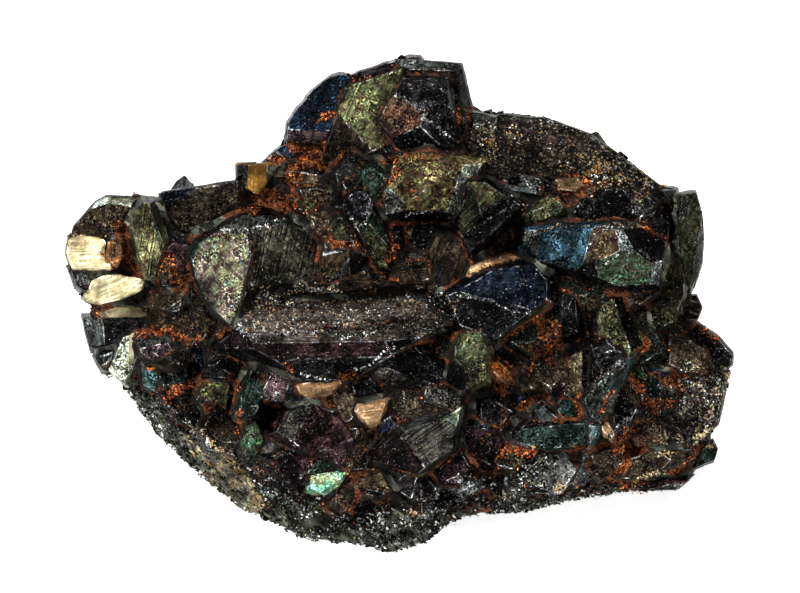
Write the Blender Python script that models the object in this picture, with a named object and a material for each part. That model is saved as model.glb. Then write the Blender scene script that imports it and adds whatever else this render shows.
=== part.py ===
"""Specularite specimen: lens-shaped hematite crystals grown together on a broken piece of ore.

The specimen is one grown piece, so everything here is joined into one solid. The side that carries
the large crystals leans back, and each crystal is laid out on that face in millimetres: a runs to the
right, b up the face and c straight out of it. A crystal is a block cut by flat planes, as a gem is.
"""
import math
import random
from collections import namedtuple

import bmesh
import bpy
from mathutils import Matrix, Vector, noise

MM = 0.001
FACE_RISE = math.radians(40.0)   # how far the crystal face's outward direction points above the level
FACE_HEIGHT = 38.0               # height of the middle of the crystal face above the rest plane
CENTRE_SHIFT = (0.145, -9.07)    # moves the middle of the footprint onto the origin
BLOCK = 90.0                     # side of the block that each crystal is cut from
CUT_TOLERANCE = 1e-5
CORNER_WELD = 0.01               # corners of one crystal closer than this are one corner
WELD = 0.001                     # the same for the joined solid
SAW_SIZE = 0.3                   # side of the block that saws the foot flat, in metres

# Matrix: the rock behind the crystals, lofted from its widest outline to a front and a back end.
FRONT_POLE = (0.0, -3.0, 1.0)
BACK_POLE = (0.0, 4.0, -46.0)
HEART = (0.0, 0.0, -14.0)         # the middle of the matrix
FRONT_RINGS = 5
BACK_RINGS = 9
RING_POINTS = 46
ROUGHNESS = 1.7                  # how far lumps stand out of the loft
EDGE_ROUGHNESS = 0.25            # their height along the outline, as a share of that
LUMP = 13.0                      # size of a lump
LUMP_SHIFTS = [(0.0, 0.0, 0.0), (31.4, 17.2, 5.9), (-12.7, 42.3, 23.1)]
OUTLINE = [
    (-62, -3, -18), (-61, -12, -20), (-55, -19, -20), (-50, -27, -18), (-40, -36, -13), (-32, -42, -8),
    (-23, -46, -4), (-18, -49, -1), (-11, -48, 0), (-2, -51, 2), (6, -48, 0), (12, -43, -3),
    (23, -43, -5), (30, -41.6, -6), (40, -39.4, -9), (56, -38, -12), (63.6, -31, -15), (64.4, -24, -16),
    (66.6, -15, -16), (65, -9, -15), (60, -5, -14), (56, 2, -14), (55, 20, -12), (52, 23.4, -12),
    (44, 29, -13), (38, 33.4, -14), (30, 36.4, -15), (16, 37.6, -14), (8, 41, -12), (-4, 42, -12),
    (-16, 38, -12), (-22, 30, -12), (-32, 23, -11), (-44, 20, -11), (-52, 19, -12), (-62, 19, -13),
    (-66, 12, -14), (-65, 2, -16),
]

# Flat breaks in the matrix: the way each one faces, and its distance from the middle.
BREAKS = [
    ((0.15, 0.35, -1.0), 27.0), ((-0.55, 0.1, -1.0), 36.0), ((0.6, -0.25, -1.0), 38.0),
    ((0.1, 0.9, -0.8), 35.0), ((-0.9, 0.5, -0.5), 50.0), ((0.9, 0.45, -0.6), 50.0),
    ((-0.2, -0.5, -1.0), 31.0),
]
BREAK_FLATNESS = 0.9

# Colours of tarnished hematite, rust and gangue: red, green, blue, roughness, metallic.
TINTS = {
    "black": (0.018, 0.019, 0.022, 0.34, 0.6),
    "blueblack": (0.020, 0.028, 0.045, 0.34, 0.6),
    "plum": (0.030, 0.018, 0.024, 0.38, 0.5),
    "darkbrown": (0.035, 0.026, 0.020, 0.45, 0.4),
    "brown": (0.080, 0.055, 0.035, 0.55, 0.3),
    "bronze": (0.110, 0.085, 0.045, 0.40, 0.5),
    "redbrown": (0.100, 0.030, 0.020, 0.60, 0.2),
    "mauve": (0.090, 0.060, 0.060, 0.45, 0.4),
    "olive": (0.130, 0.140, 0.055, 0.45, 0.4),
    "darkolive": (0.050, 0.050, 0.030, 0.42, 0.5),
    "moss": (0.060, 0.070, 0.035, 0.45, 0.4),
    "green": (0.060, 0.160, 0.060, 0.35, 0.6),
    "darkgreen": (0.020, 0.040, 0.032, 0.36, 0.6),
    "teal": (0.050, 0.120, 0.110, 0.35, 0.6),
    "palegreen": (0.350, 0.500, 0.350, 0.40, 0.5),
    "blue": (0.030, 0.110, 0.220, 0.35, 0.6),
    "navy": (0.012, 0.030, 0.070, 0.35, 0.6),
    "steel": (0.130, 0.150, 0.135, 0.38, 0.6),
    "silver": (0.250, 0.270, 0.260, 0.40, 0.6),
    "charcoal": (0.045, 0.045, 0.045, 0.40, 0.6),
    "tan": (0.450, 0.270, 0.120, 0.80, 0.0),
    "amber": (0.500, 0.250, 0.040, 0.65, 0.0),
    "orange": (0.500, 0.160, 0.030, 0.80, 0.0),
    "cream": (0.750, 0.650, 0.420, 0.75, 0.0),
    "rainbow": (0.090, 0.120, 0.110, 0.35, 0.6),
    "petrol": (0.060, 0.150, 0.160, 0.35, 0.6),
    "grains": (0.045, 0.042, 0.038, 0.55, 0.4),
}

STEEP = None                     # stands for a flank that falls away steeply inward
FLANKS = (72.0, 84.0)            # how steeply such flanks fall, in degrees from the face
EDGE_FLANKS = (84.0, 86.0)       # the same for crystals along the edge of the face
EDGE_SHARE = 0.16                # how far in from the outline the edge counts, as a share of the width
CUT_TURNS = (24.0, 46.0)         # turn of the facets that take off a plain crystal's corners, in degrees
CUT_REACH = (0.30, 0.62)         # their distance from its middle, as a share of its half width
CUT_APART = (90.0, 200.0)        # how far apart the two corners lie, in degrees round the crystal
UNCUT = ("cream", "tan", "amber", "orange", "grains")
DEEP = 14.0                      # how far a crystal reaches in behind its front facet
THIN = 8.0                       # the same for crystals along the edge of the face

Crystal = namedtuple("Crystal", "name tint out right up corners turns depth folds tints")


def crystal(name, tint, out, right, up, corners, turns=None, depth=DEEP, folds=(), tints=None):
    """One crystal: its front facet's corners, counter-clockwise, and the facets that fold away.

    The front facet's middle lies out from the face, and the facet leans right and up by degrees. Edge 1
    runs from the first corner to the second. turns gives the turn over an edge in degrees, where it isn't
    STEEP. A fold (facet, start, end, turn, tint) adds a facet beyond a line drawn on facet 0, 1, 2 ...
    """
    return Crystal(name, tint, out, right, up, corners, turns or {}, depth, folds, tints or {})


CRYSTALS = [
    # Top of the face
    crystal("blue_lens", "navy", -4, -25, 25,
            [(-10.2, 44.4), (-11.6, 45.4), (-14, 44.6), (-17, 42.4), (-20, 39), (-22.2, 35.8),
             (-22.4, 34.2), (-14, 34), (-12.4, 38)], depth=THIN,
            turns={7: 55},
            folds=[(7, (-21.6, 32), (-15, 31.4), 30, "brown")], tints={7: "mauve"}),
    crystal("olive_block", "olive", 3, -12, 14,
            [(0.4, 46.2), (-11.4, 42.4), (-12.8, 37.6), (-5.6, 29.6), (-2, 31)], depth=THIN,
            turns={3: 38},
            folds=[(3, (-14, 33), (-16.4, 26), STEEP, "darkbrown"),
                   (3, (-16, 25), (-3, 24), STEEP, "black")],
            tints={1: "black", 3: "darkbrown"}),
    crystal("cap_ridge", "black", -5, 0, 30,
            [(5, 47.4), (4, 48.7), (1.6, 48.8), (-10, 44.9), (-11.4, 42.4), (4, 44)], depth=THIN),
    crystal("red_pyramid", "redbrown", 9, -22, -5,
            [(-1, 41), (-4.4, 35.8), (-1.6, 32), (4, 34.6), (5.2, 37.4)],
            turns={3: 40, 4: 45, 5: 42},
            folds=[(5, (9.6, 40), (6.4, 44), 40, "blueblack"), (5, (6.4, 44), (0, 44), STEEP, "black"),
                   (4, (12, 30), (9.6, 40), STEEP, "black"), (3, (-0.6, 29), (7, 29), STEEP, "black")],
            tints={3: "black", 4: "darkbrown", 5: "blueblack"}),
    crystal("top_plate", "darkbrown", -2, 5, -10,
            [(11, 46), (0, 46.4), (0, 43), (10, 38.8), (12, 39), (11.8, 43)], depth=THIN,
            turns={1: 55, 5: 55, 6: 55},
            folds=[(1, (12, 47.4), (0, 48.2), STEEP, "black"),
                   (5, (14.4, 38.8), (12.4, 46), STEEP, "brown")],
            tints={1: "steel", 5: "steel", 6: "steel"}),
    crystal("blue_wedge", "navy", -7, -20, 20,
            [(-21.6, 32), (-24, 30.8), (-26.6, 28.4), (-23, 28), (-20, 30)], depth=THIN),
    crystal("amber_block", "amber", -3, -5, 0,
            [(-26.4, 27.2), (-30.6, 27), (-30.6, 22.4), (-28.4, 21), (-26.8, 24)], depth=THIN,
            turns={2: 35},
            folds=[(2, (-32.6, 27), (-32.6, 22), STEEP, "darkbrown")], tints={2: "steel"}),
    crystal("brown_stub", "brown", -3, 5, 10,
            [(-20.4, 27.6), (-24, 27.2), (-25.6, 25.4), (-24.4, 23.6), (-20.8, 23.4), (-19.2, 25.6)]),
    crystal("green_chip", "darkgreen", 1, 10, 5,
            [(12.8, 38), (10, 37), (10.6, 34.4), (13, 34)]),
    crystal("dark_chip", "darkgreen", 2, 0, 10,
            [(21, 26.4), (18.4, 28), (16, 27), (16.4, 24.4), (19, 23.6)]),
    crystal("granular_face", "grains", -1, 12, 34,
            [(52, 22.6), (44, 28.8), (38, 33), (30, 36), (15, 37.2), (12, 32), (14, 26), (26, 22),
             (46, 19)],
            depth=THIN),

    # Left shoulder
    crystal("long_dark", "darkbrown", 0, -5, -15,
            [(-32.4, 23.6), (-40, 22.4), (-47, 19.2), (-45.6, 15.6), (-43, 13.6), (-35.6, 17), (-32, 19.4)],
            turns={2: 50}, depth=THIN,
            folds=[(2, (-40, 23), (-48.6, 21.4), STEEP, "black"),
                   (2, (-48.6, 21.6), (-49.4, 19.6), STEEP, "black")],
            tints={1: "steel", 2: "navy"}),
    crystal("striated_green", "olive", 3, -18, 3,
            [(-50, 19.2), (-51, 19.4), (-53.4, 17), (-53.2, 13), (-51.8, 8.4), (-50.4, 4.6), (-49, 4.6),
             (-47.8, 8.8), (-49.6, 18)],
            turns={8: 35},
            folds=[(8, (-46, 9), (-44.4, 14.4), STEEP, "moss"),
                   (8, (-44.4, 14.4), (-49.4, 18.6), STEEP, "moss"),
                   (8, (-49, 4.4), (-46, 9), STEEP, "moss")],
            tints={8: "moss"}),
    crystal("left_lump", "darkbrown", -3, -15, 10,
            [(-54, 18.8), (-59.2, 19.4), (-62, 18.4), (-65.6, 14.4), (-66, 12), (-60, 11.8), (-56.4, 14.4)],
            turns={1: 58, 2: 58}, depth=THIN,
            folds=[(1, (-53, 20.4), (-58, 20.6), STEEP, "brown"),
                   (2, (-60, 20.6), (-64, 17.6), STEEP, "brown")],
            tints={1: "palegreen", 2: "palegreen"}),
    crystal("cream_lump", "cream", -2, -10, -5,
            [(-59.2, 12), (-64, 13), (-66.4, 12), (-66.6, 9), (-65.6, 6.4), (-58, 6.4), (-58, 9)]),
    crystal("sparkly_chip", "charcoal", 0, -5, 0,
            [(-55.6, 12.6), (-58.4, 11.6), (-59, 8.6), (-57, 7), (-55.6, 9)]),
    crystal("left_tip", "steel", -5, -10, 0,
            [(-62.8, 6), (-66, 5.8), (-65, 3), (-63.6, 2), (-62.4, 2.6)]),
    crystal("cream_slab", "cream", -4, -8, -8,
            [(-51.4, 3.8), (-56, 4.8), (-59.2, 5), (-62, 3.8), (-63.2, 0.8), (-60, -0.8), (-56.4, 0.2),
             (-52, 2)]),
    crystal("cream_ledge", "cream", -6, 0, 30,
            [(-49, -2), (-56, -0.8), (-60.6, -2.8), (-60, -3.4), (-49, -3.2)]),
    crystal("left_block", "black", -7, 12, -10,
            [(-49, -3.4), (-60, -3.6), (-59.6, -9), (-54, -8), (-49, -6.6)],
            turns={2: 45},
            folds=[(2, (-63.4, -4.6), (-62.2, -9.6), STEEP, "charcoal")], tints={2: "steel"}),
    crystal("pale_wedge", "palegreen", -5, -15, 10,
            [(-54.6, -7.2), (-55.6, -7.6), (-58.4, -14), (-55.4, -16.4), (-54.6, -14.8)],
            turns={5: 30},
            folds=[(5, (-53.2, -13.6), (-53.4, -8.4), 30, "teal"),
                   (6, (-51.8, -14), (-52.4, -10), STEEP, "black")],
            tints={5: "cream"}),
    crystal("grey_striated", "steel", -9, -20, 0,
            [(-57.6, -10), (-60, -10), (-61.4, -11.2), (-60, -14), (-58.6, -14)]),
    crystal("teal_dark", "teal", -6, -5, -8,
            [(-50, -11.4), (-51.8, -12.4), (-51.6, -17), (-49.6, -18.2), (-48, -16), (-48.4, -12.4)]),
    crystal("ringed", "mauve", -3, 5, 15,
            [(-47, -8), (-50, -7.4), (-52.8, -8.6), (-52, -10.4), (-49.6, -12.2), (-46.8, -12.2),
             (-45.6, -10.4)]),
    crystal("grey_ridge", "brown", 0, 0, 35,
            [(-39, -8.2), (-42, -9), (-48.4, -12.6), (-46, -13.2), (-41, -10.6)]),
    crystal("dark_hexagon", "darkgreen", -2, -3, 5,
            [(-43.6, -13.4), (-45.6, -13.8), (-47.8, -15.6), (-47.4, -17.6), (-46, -18.4), (-43.4, -17.6),
             (-42.8, -15)]),
    crystal("small_blue", "brown", 2, -12, 15,
            [(-43, 2), (-47, 1.8), (-48.8, -1.2), (-46.4, -2), (-43.4, 0.6)],
            turns={4: 25},
            folds=[(4, (-41.4, -1.8), (-41.6, 1), STEEP, "black"),
                   (4, (-46.4, -2.4), (-41.4, -2.2), STEEP, "black")],
            tints={4: "steel"}),
    crystal("left_hollow", "darkbrown", 0, 0, 0,
            [(-41, -2.4), (-48.4, -2.4), (-48, -5), (-44, -7.6), (-40, -8)]),
    crystal("lower_left_block", "black", -2, 0, 5,
            [(-41, -20.2), (-45.6, -22), (-44.8, -24), (-41, -25.2), (-38.8, -24.8)]),

    # The iridescent plate and its neighbours
    crystal("rainbow_plate", "rainbow", 8, -12, 8,
            [(-30.6, 13.8), (-35.6, 14), (-40, 11.4), (-41.2, 8), (-40.8, 5), (-39, 0.6), (-34.6, -4),
             (-33.6, -4.8), (-32, -0.6), (-30.8, 4), (-29.6, 9)],
            turns={1: 45},
            folds=[(1, (-23, 18), (-33.6, 16.6), STEEP, "black")],
            tints={1: "steel", 2: "charcoal", 3: "teal", 4: "teal", 5: "teal"}),
    crystal("striated_wall", "darkolive", 5, 18, 5,
            [(-16.4, 13), (-23, 15.4), (-29.4, 14.6), (-30.2, 9), (-30.6, 3), (-27, 2), (-17, 5.4)],
            turns={2: 45}, folds=[(2, (-22, 17.4), (-30, 16.4), STEEP, "black")], tints={2: "steel"}),
    crystal("under_rainbow", "darkbrown", 3, 8, -15,
            [(-38, 1.4), (-41.4, 3.6), (-41.6, 0), (-40, -8), (-37.6, -9.6), (-34.4, -5.6)]),
    crystal("hex_window", "black", 12, -2, 12,
            [(-7, 21.6), (-9.6, 21.2), (-10.8, 19.2), (-10.4, 17.2), (-9.4, 15.8), (-7.2, 16.4), (-6, 19)],
            turns={3: 42, 5: 40, 6: 38},
            folds=[(5, (-10, 7), (-5, 6.4), STEEP, "black"), (6, (-2.6, 9), (-2, 20), STEEP, "black"),
                   (3, (-13.6, 20), (-13, 9), STEEP, "black")],
            tints={3: "steel", 5: "darkolive", 6: "darkgreen"}),
    crystal("terrace", "darkbrown", 3, 0, 50,
            [(4, 3.4), (1, 5.8), (-14, 7.6), (-29, 5), (-28, 2.4), (-14, 1.6)]),
    crystal("olive_chip", "darkolive", 1, 0, 10,
            [(-16, 20), (-22, 20), (-20.6, 17.4), (-18, 17)]),
    crystal("upper_hollow", "darkbrown", 0, 5, 0,
            [(-13, 23), (-20, 22), (-18, 17.6), (-14, 18.4)]),
    crystal("rusty_block", "brown", -2, 0, 10,
            [(-16.4, 26.4), (-22, 26.4), (-22.6, 23), (-20, 21), (-16, 22.4)]),
    crystal("grey_stub", "brown", -2.6, -10, 5,
            [(-22, 24), (-24.6, 23), (-25, 20.4), (-22, 20.4)], depth=7),
    crystal("brown_chip", "brown", 5, 5, 0,
            [(-14, 16), (-17.6, 16.4), (-16.4, 13), (-14.4, 12.4)]),
    crystal("dark_foot", "darkbrown", 5, 0, -8,
            [(-10, 11), (-14.4, 12.4), (-16, 7.6), (-15, 3.4), (-10, 3)]),
    crystal("dark_wedge", "black", 4, 0, 0,
            [(-1.6, 7.6), (-6, 6.4), (-8, 4), (-5, 2), (-1, 3)]),

    # Middle of the upper face
    crystal("olive_red", "olive", 9, -8, 14,
            [(12, 27), (6, 29), (0.4, 28.6), (-1.2, 26.8), (-2.6, 22.6), (1, 18.8)],
            turns={5: 30, 6: 18},
            folds=[(6, (2, 17.6), (9, 17.4), STEEP, "black"), (6, (9.4, 17.4), (12.4, 26), 45, "palegreen"),
                   (5, (-1.6, 16.6), (1.4, 16.4), STEEP, "black"),
                   (5, (-4.4, 22), (-3, 17.6), STEEP, "black"),
                   (8, (12, 17), (15, 24), STEEP, "darkolive")],
            tints={5: "steel"}),
    crystal("step_stack", "black", 3, 5, -18,
            [(11, 17.4), (1, 16.8), (-1.6, 15.6), (-0.4, 10), (6, 8.4), (13, 11), (13.6, 15)]),
    crystal("lower_steps", "darkbrown", 5, 0, 10,
            [(8, 8.4), (-1, 10.6), (-1.4, 6), (0, 3.4), (6.4, 2.4), (7.6, 6)]),
    crystal("striated_block", "steel", 11, 10, -8,
            [(21, 20.6), (16, 17), (12.4, 12.4), (14, 9.6), (19.6, 14.4), (24, 18.8)],
            turns={1: 30, 2: 35},
            folds=[(1, (22.6, 23), (15.6, 23.4), STEEP, "black"), (2, (13, 22), (11, 12), STEEP, "black")],
            tints={1: "olive", 2: "darkolive"}),
    crystal("side_striated", "darkolive", 6, 15, 0,
            [(15, 22), (12.4, 24), (11.2, 19), (11.6, 12), (13.6, 14)]),
    crystal("brown_striped", "brown", 8, 8, 5,
            [(12.4, 11), (8.4, 11.6), (7, 7.6), (7, 2.4), (11, 3.2), (14.4, 7)]),
    crystal("back_dark", "darkbrown", 3, 0, 0,
            [(24, 17), (16, 11.4), (14.6, 7.6), (23, 8.4)]),
    crystal("tan_ledge", "tan", 9, 0, 40,
            [(25, 7.6), (20, 8.2), (14, 6), (13.6, 4.6), (18, 4.8)], depth=5),
    crystal("grey_facet", "steel", 4, 0, 25,
            [(29, 23.6), (23, 25.6), (19, 24.8), (18, 23.4), (21.6, 22), (29.6, 20.8)]),
    crystal("small_black", "black", 4, 5, -5,
            [(32, 22), (28.6, 24), (30, 20.6), (32.4, 17.4), (34.6, 18.6)]),
    crystal("tan_chip", "tan", 4, 0, 25,
            [(36.6, 22.8), (35.6, 24), (31.2, 23.8), (32, 22), (35, 21.6)], depth=6),
    crystal("moss_crystal", "moss", 5, -8, 5,
            [(32, 19.4), (29, 21.4), (26, 20), (24.4, 17), (25.4, 14.4), (32, 15.2), (33.6, 16)]),
    crystal("black_big", "black", 6, -5, 5,
            [(46, 22), (41, 22), (36, 19.8), (34.4, 17), (38, 15.2), (44.4, 14.4), (50, 15), (51, 19)],
            folds=[(0, (49, 15), (44.6, 22), 25, "charcoal")]),
    crystal("black_small", "black", 0, 20, 5,
            [(55, 21.6), (51.6, 22), (50.4, 18.6), (52, 15), (55, 16)]),

    # Blue plate, the dark oval below it and the right edge
    crystal("blue_plate", "blue", 13, -16, 8,
            [(38, 14.4), (28, 13.8), (27, 9), (27.6, 7.4), (29.8, 3.6), (36, 7)],
            turns={2: 24, 3: 30, 5: 38, 6: 14},
            folds=[(2, (24.6, 13), (23.8, 8.4), STEEP, "black"),
                   (2, (23.8, 8), (27.6, 7.8), STEEP, "black"),
                   (6, (37, 6.8), (43.4, 9.7), 30, "green"),
                   (6, (43.4, 9.7), (42.4, 13.8), 18, "silver"),
                   (10, (46.4, 10), (44, 13.8), 28, "black"),
                   (9, (49.6, 3.4), (49.6, 8), 35, "steel"),
                   (12, (51.6, 4), (52, 8.6), STEEP, "brown"),
                   (9, (38.4, 2.4), (49.6, 3.2), STEEP, "black"),
                   (6, (43, 13.8), (38, 14.4), STEEP, "charcoal"),
                   (5, (30, 3), (38.4, 2.4), STEEP, "black")],
            tints={2: "steel", 5: "black", 6: "brown"}),
    crystal("dark_oval", "blueblack", 15, 5, 10,
            [(26, 7.2), (18, 5.8), (11, 1.6), (26, -2), (29, 0), (29, 4)],
            turns={3: 38},
            folds=[(3, (9.6, 0), (12, -5), STEEP, "black"), (3, (12, -5), (22, -9), STEEP, "black"),
                   (3, (22, -9), (28, -4), STEEP, "darkgreen")],
            tints={3: "darkgreen", 4: "charcoal"}),
    crystal("right_plate", "steel", 2, 30, 0,
            [(59, 21.4), (56.4, 20.8), (55.6, 17), (55.6, 10), (56.8, 5), (58, 1.8), (60, 7), (60.4, 13),
             (60, 18)], depth=THIN),
    crystal("curved_dark", "darkolive", 4, -20, 0,
            [(54.4, 12), (51.2, 7.6), (49, 0), (51, -6), (54.4, -4.4), (56.4, 1), (56, 7)],
            folds=[(0, (54.2, -2.4), (54.2, 11.6), 30, "brown")]),
    crystal("knob", "brown", -6, 10, 0,
            [(59.6, 0.8), (57.4, 0.8), (56.8, -2), (58, -4), (59.8, -3.6), (60.6, -1.4)], depth=7),
    crystal("olive_column", "olive", 7, -8, -3,
            [(43.6, 0.6), (40.2, 0.2), (39.6, -4), (40, -8.4), (44.8, -11.4), (47.6, -8.8)]),
    crystal("dark_tall", "black", 4, 0, 0,
            [(39, -1), (35, -2), (34.4, -7), (36, -9), (39.4, -8)]),
    crystal("dark_arch", "black", 9, -3, 0,
            [(44, -10.4), (41, -8.6), (38.4, -10), (38, -15.6), (40, -16), (44.4, -12.8)]),
    crystal("petrol_blade", "petrol", 10, 12, -12,
            [(44.4, -13), (40, -15.8), (36.8, -19.6), (38, -23.2), (39.6, -24), (41.6, -20)]),
    crystal("pale_tip", "teal", 7, 0, 0,
            [(39.6, -24), (37.6, -24.8), (37.8, -28.4), (39.2, -26.4)], depth=7),
    crystal("bronze_prism", "bronze", 6, -25, 0,
            [(38, -10), (35, -10.4), (32.6, -12.8), (32.6, -19.2), (36, -19.8), (38, -16.4)],
            folds=[(0, (36, -19.8), (36, -10.2), 40, "black")]),
    crystal("dark_teal", "teal", 6, 0, -12,
            [(36.6, -20), (33, -20), (31.4, -22), (32.6, -24.2), (35.6, -24.6), (37.6, -23.2)]),
    crystal("green_topped", "darkgreen", 7, 0, -5,
            [(33, -24.2), (26, -24), (22.4, -26.8), (22.4, -29.8), (32, -29.2), (36.8, -28), (36.8, -24.6)],
            tints={1: "green", 2: "plum"}),
    crystal("small_grey", "steel", 6, 0, 20,
            [(31, -22.4), (29, -20.8), (26.2, -22.4), (26.4, -24.2), (32, -24.6)]),
    crystal("tan_blade", "tan", 6, 15, 0,
            [(40.8, -23.6), (40, -24), (40.2, -26), (42.2, -27.6), (42.8, -26.8)], depth=6),
    crystal("tall_black", "black", 6, 10, 0,
            [(48, -19.6), (44.4, -15.6), (43.2, -17), (42.4, -23), (43.6, -28), (45.6, -25)]),
    crystal("brown_plate", "brown", 0, 5, 30,
            [(61, -10), (58, -8.2), (53.6, -7.6), (50, -10), (50.4, -11.6), (58, -14.2), (62.4, -13.2)]),
    crystal("navy_facet", "navy", 2, 0, -5,
            [(53.6, -14.4), (48.6, -13.2), (50.4, -16.4), (53.6, -17.2)]),
    crystal("bright_green", "green", 4, 0, 0,
            [(48, -13.2), (46, -12.8), (46.8, -15), (48, -16.8), (49.2, -15.6)]),
    crystal("right_black", "black", -6, 20, 15,
            [(64.4, -8.4), (60, -5.2), (58, -7), (61.6, -11), (64.4, -14), (66.6, -13.2), (66.8, -11)],
            depth=THIN),
    crystal("right_rough", "grains", -3, 18, 0,
            [(65.6, -15), (61, -13.6), (56, -15.6), (53.6, -20), (53, -27), (58, -29.6), (63.6, -25)]),
    crystal("rusty_wall", "redbrown", 2, -15, 5,
            [(47, -21), (45.6, -25.6), (48, -29), (52.4, -28), (51.6, -22.4)]),
    crystal("rusty_ledge", "redbrown", 1, 0, -15,
            [(58, -30), (50, -30.4), (44, -32.4), (41, -35.6), (48, -35.6), (54.4, -34), (58.4, -31.6)]),
    crystal("rusty_foot", "redbrown", 2, 0, 0,
            [(44, -29), (38, -31), (36, -33), (40, -36), (45, -33)]),
    crystal("plum_rim", "plum", -7, 0, -20,
            [(58, -36), (48, -36.4), (46, -38), (56, -38)]),
    crystal("green_corner", "darkgreen", -9, 0, 0,
            [(63.2, -29), (60, -30), (59.4, -33.6), (63.2, -32.4), (63.8, -30.4)], depth=THIN),

    # The large tabular crystal and what lies below it
    crystal("tabular", "brown", 5, 0, 56,
            [(8, 0), (0, 2.4), (-14, 4.2), (-23, 4.3), (-27.6, 3.4), (-31.2, -0.6), (-32.2, -5.6),
             (-28.8, -8.4), (-3, -8), (10, -6.8), (11.2, -4)], turns={7: 72, 8: 75, 9: 72},
            folds=[(8, (-28, -12), (-3, -11.4), 25, "darkgreen"),
                   (12, (-19, -16), (-9, -15.8), STEEP, "black"),
                   (12, (-9, -15.8), (-2, -11), STEEP, "charcoal"),
                   (12, (-28, -9.6), (-19, -15.6), STEEP, "black")],
            tints={6: "black", 7: "plum", 8: "plum", 9: "black", 10: "black"}),
    crystal("right_of_tabular", "black", 9, 6, -8,
            [(8, -9), (0.6, -9), (-3, -11.6), (-5, -15), (2, -18.4), (8, -17), (9.2, -12)]),
    crystal("olive_lozenge", "olive", 12, -6, -4,
            [(15.6, -6), (13.2, -6.2), (11, -10.4), (9.6, -16), (12.4, -17.6), (16.6, -15.2), (16.8, -9)]),
    crystal("orange_lump", "orange", 6, 0, 0,
            [(20, -12.6), (18, -12.4), (18.4, -14), (20.8, -16.4), (22.2, -15.8), (21.6, -14)], depth=7),
    crystal("brown_prism", "brown", 4, -5, 0,
            [(26, -11.6), (23.6, -11.6), (23.2, -16), (24.4, -18.2), (27.4, -17.6), (27.8, -13.2)]),
    crystal("striped_dark", "darkgreen", 8, -10, 5,
            [(-27.6, -13.8), (-29.2, -14.2), (-31.4, -19), (-31.6, -22.8), (-29.2, -23), (-27.2, -19.4)]),
    crystal("black_left", "black", 3, 0, 0,
            [(-32.4, -9), (-37.6, -10), (-39, -15), (-33, -15.6), (-31, -12)]),
    crystal("moss_left", "moss", 1, -8, 5,
            [(-33, -16), (-39, -16.4), (-40.4, -20), (-37, -23.6), (-32.4, -22.4)]),
    crystal("tan_sliver", "tan", 8, 0, 10,
            [(-32.6, -7), (-33.6, -7.4), (-29.8, -11.2), (-29.2, -11)], depth=6),
    crystal("green_pair", "green", 5, -12, 0,
            [(-28.8, -24), (-30.6, -25), (-31.6, -28.6), (-30, -31.4), (-28.8, -31), (-27.4, -27.6)]),
    crystal("purple_brown", "mauve", 9, 0, 12,
            [(-22, -15.6), (-27, -14), (-27.6, -17), (-26.4, -19.6), (-22, -20), (-19.2, -19.4)]),
    crystal("tan_plate", "tan", 9, 0, 15,
            [(-12, -14.8), (-20.4, -17), (-19.6, -18.6), (-18, -19.6), (-14, -18.8), (-11.6, -16.8)]),
    crystal("black_facet", "black", 8, 5, -5,
            [(-4.4, -15), (-9.6, -14.8), (-11, -18.4), (-8, -19.2), (-3.8, -18.2)]),
    crystal("brown_black", "darkbrown", 7, 0, 20,
            [(6, -18), (-1, -18), (-3, -20), (0, -25), (6, -22.4), (10, -20)]),
    crystal("tan_fork", "tan", 9, 5, 0,
            [(-3, -20.4), (-8, -20.8), (-8.6, -22), (-5.6, -25.8), (-4.4, -24.8)], depth=7),
    crystal("plum_arch", "plum", 10, 3, 5,
            [(-13, -22), (-17.6, -20.6), (-22, -22.4), (-24, -26), (-20, -29), (-11, -32.8), (-7.6, -30.4),
             (-10, -26)],
            tints={1: "darkgreen", 2: "darkgreen"}),
    crystal("lined_wedge", "charcoal", 13, 5, -5,
            [(11, -25), (8, -23.6), (1, -26), (0, -26.8), (4.8, -33.2), (10.4, -29.6)],
            turns={1: 40, 4: 35},
            folds=[(1, (13.4, -22.4), (12.4, -20.6), STEEP, "black"),
                   (1, (12.4, -20.6), (6.6, -22.2), STEEP, "black"),
                   (4, (-5, -32), (3, -34), STEEP, "black"), (4, (-8, -28), (-6, -31), STEEP, "black")],
            tints={1: "rainbow", 4: "plum"}),
    crystal("block_one", "plum", 7, 0, 0,
            [(20, -26), (13.6, -23.6), (12.4, -26), (14, -31), (19, -33), (21, -30)]),
    crystal("block_two", "black", 6, 0, 10,
            [(20, -19), (14, -20), (13.6, -23), (20, -25), (22.4, -22)]),
    crystal("block_three", "black", 4, 0, 0,
            [(21, -8), (17.6, -9), (17.2, -16), (20, -18.4), (23, -17), (23, -11)]),

    # Foot of the face
    crystal("dark_low", "darkgreen", 7, 0, -5,
            [(-15, -28), (-18, -28), (-20, -31), (-18.4, -34.4), (-14.4, -34), (-13.2, -31)]),
    crystal("green_flash", "green", 6, -5, -10,
            [(-10.6, -33.8), (-17.6, -35), (-17.8, -37.6), (-14.8, -38.2), (-12.4, -36.8)]),
    crystal("brown_low", "brown", 6, -10, 0,
            [(-4, -34), (-7.6, -34.4), (-8.4, -37), (-7, -38.4), (-4, -39.2), (-2, -37.6)]),
    crystal("red_low", "redbrown", 4, 0, 0,
            [(-9.6, -36), (-12.4, -37.6), (-14, -41), (-11, -43), (-9.2, -41)]),
    crystal("black_low", "black", 6, 0, 0,
            [(7, -34.4), (1.6, -34.4), (0.4, -38), (3, -40.4), (7.6, -39.6)]),
    crystal("grey_low", "silver", 4, 0, 0,
            [(14, -35.6), (9.6, -35.2), (8, -38.4), (10, -40.6), (15.6, -37.6)]),
    crystal("silver_face", "silver", 3, -3, -8,
            [(32, -29.4), (23, -36), (24, -38.4), (32, -38.4), (35, -34)]),
    crystal("black_over", "black", 5, 0, 0,
            [(29, -29.6), (23, -30.4), (21.6, -33.6), (24, -35.6), (29.6, -32.4)]),
]

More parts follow.
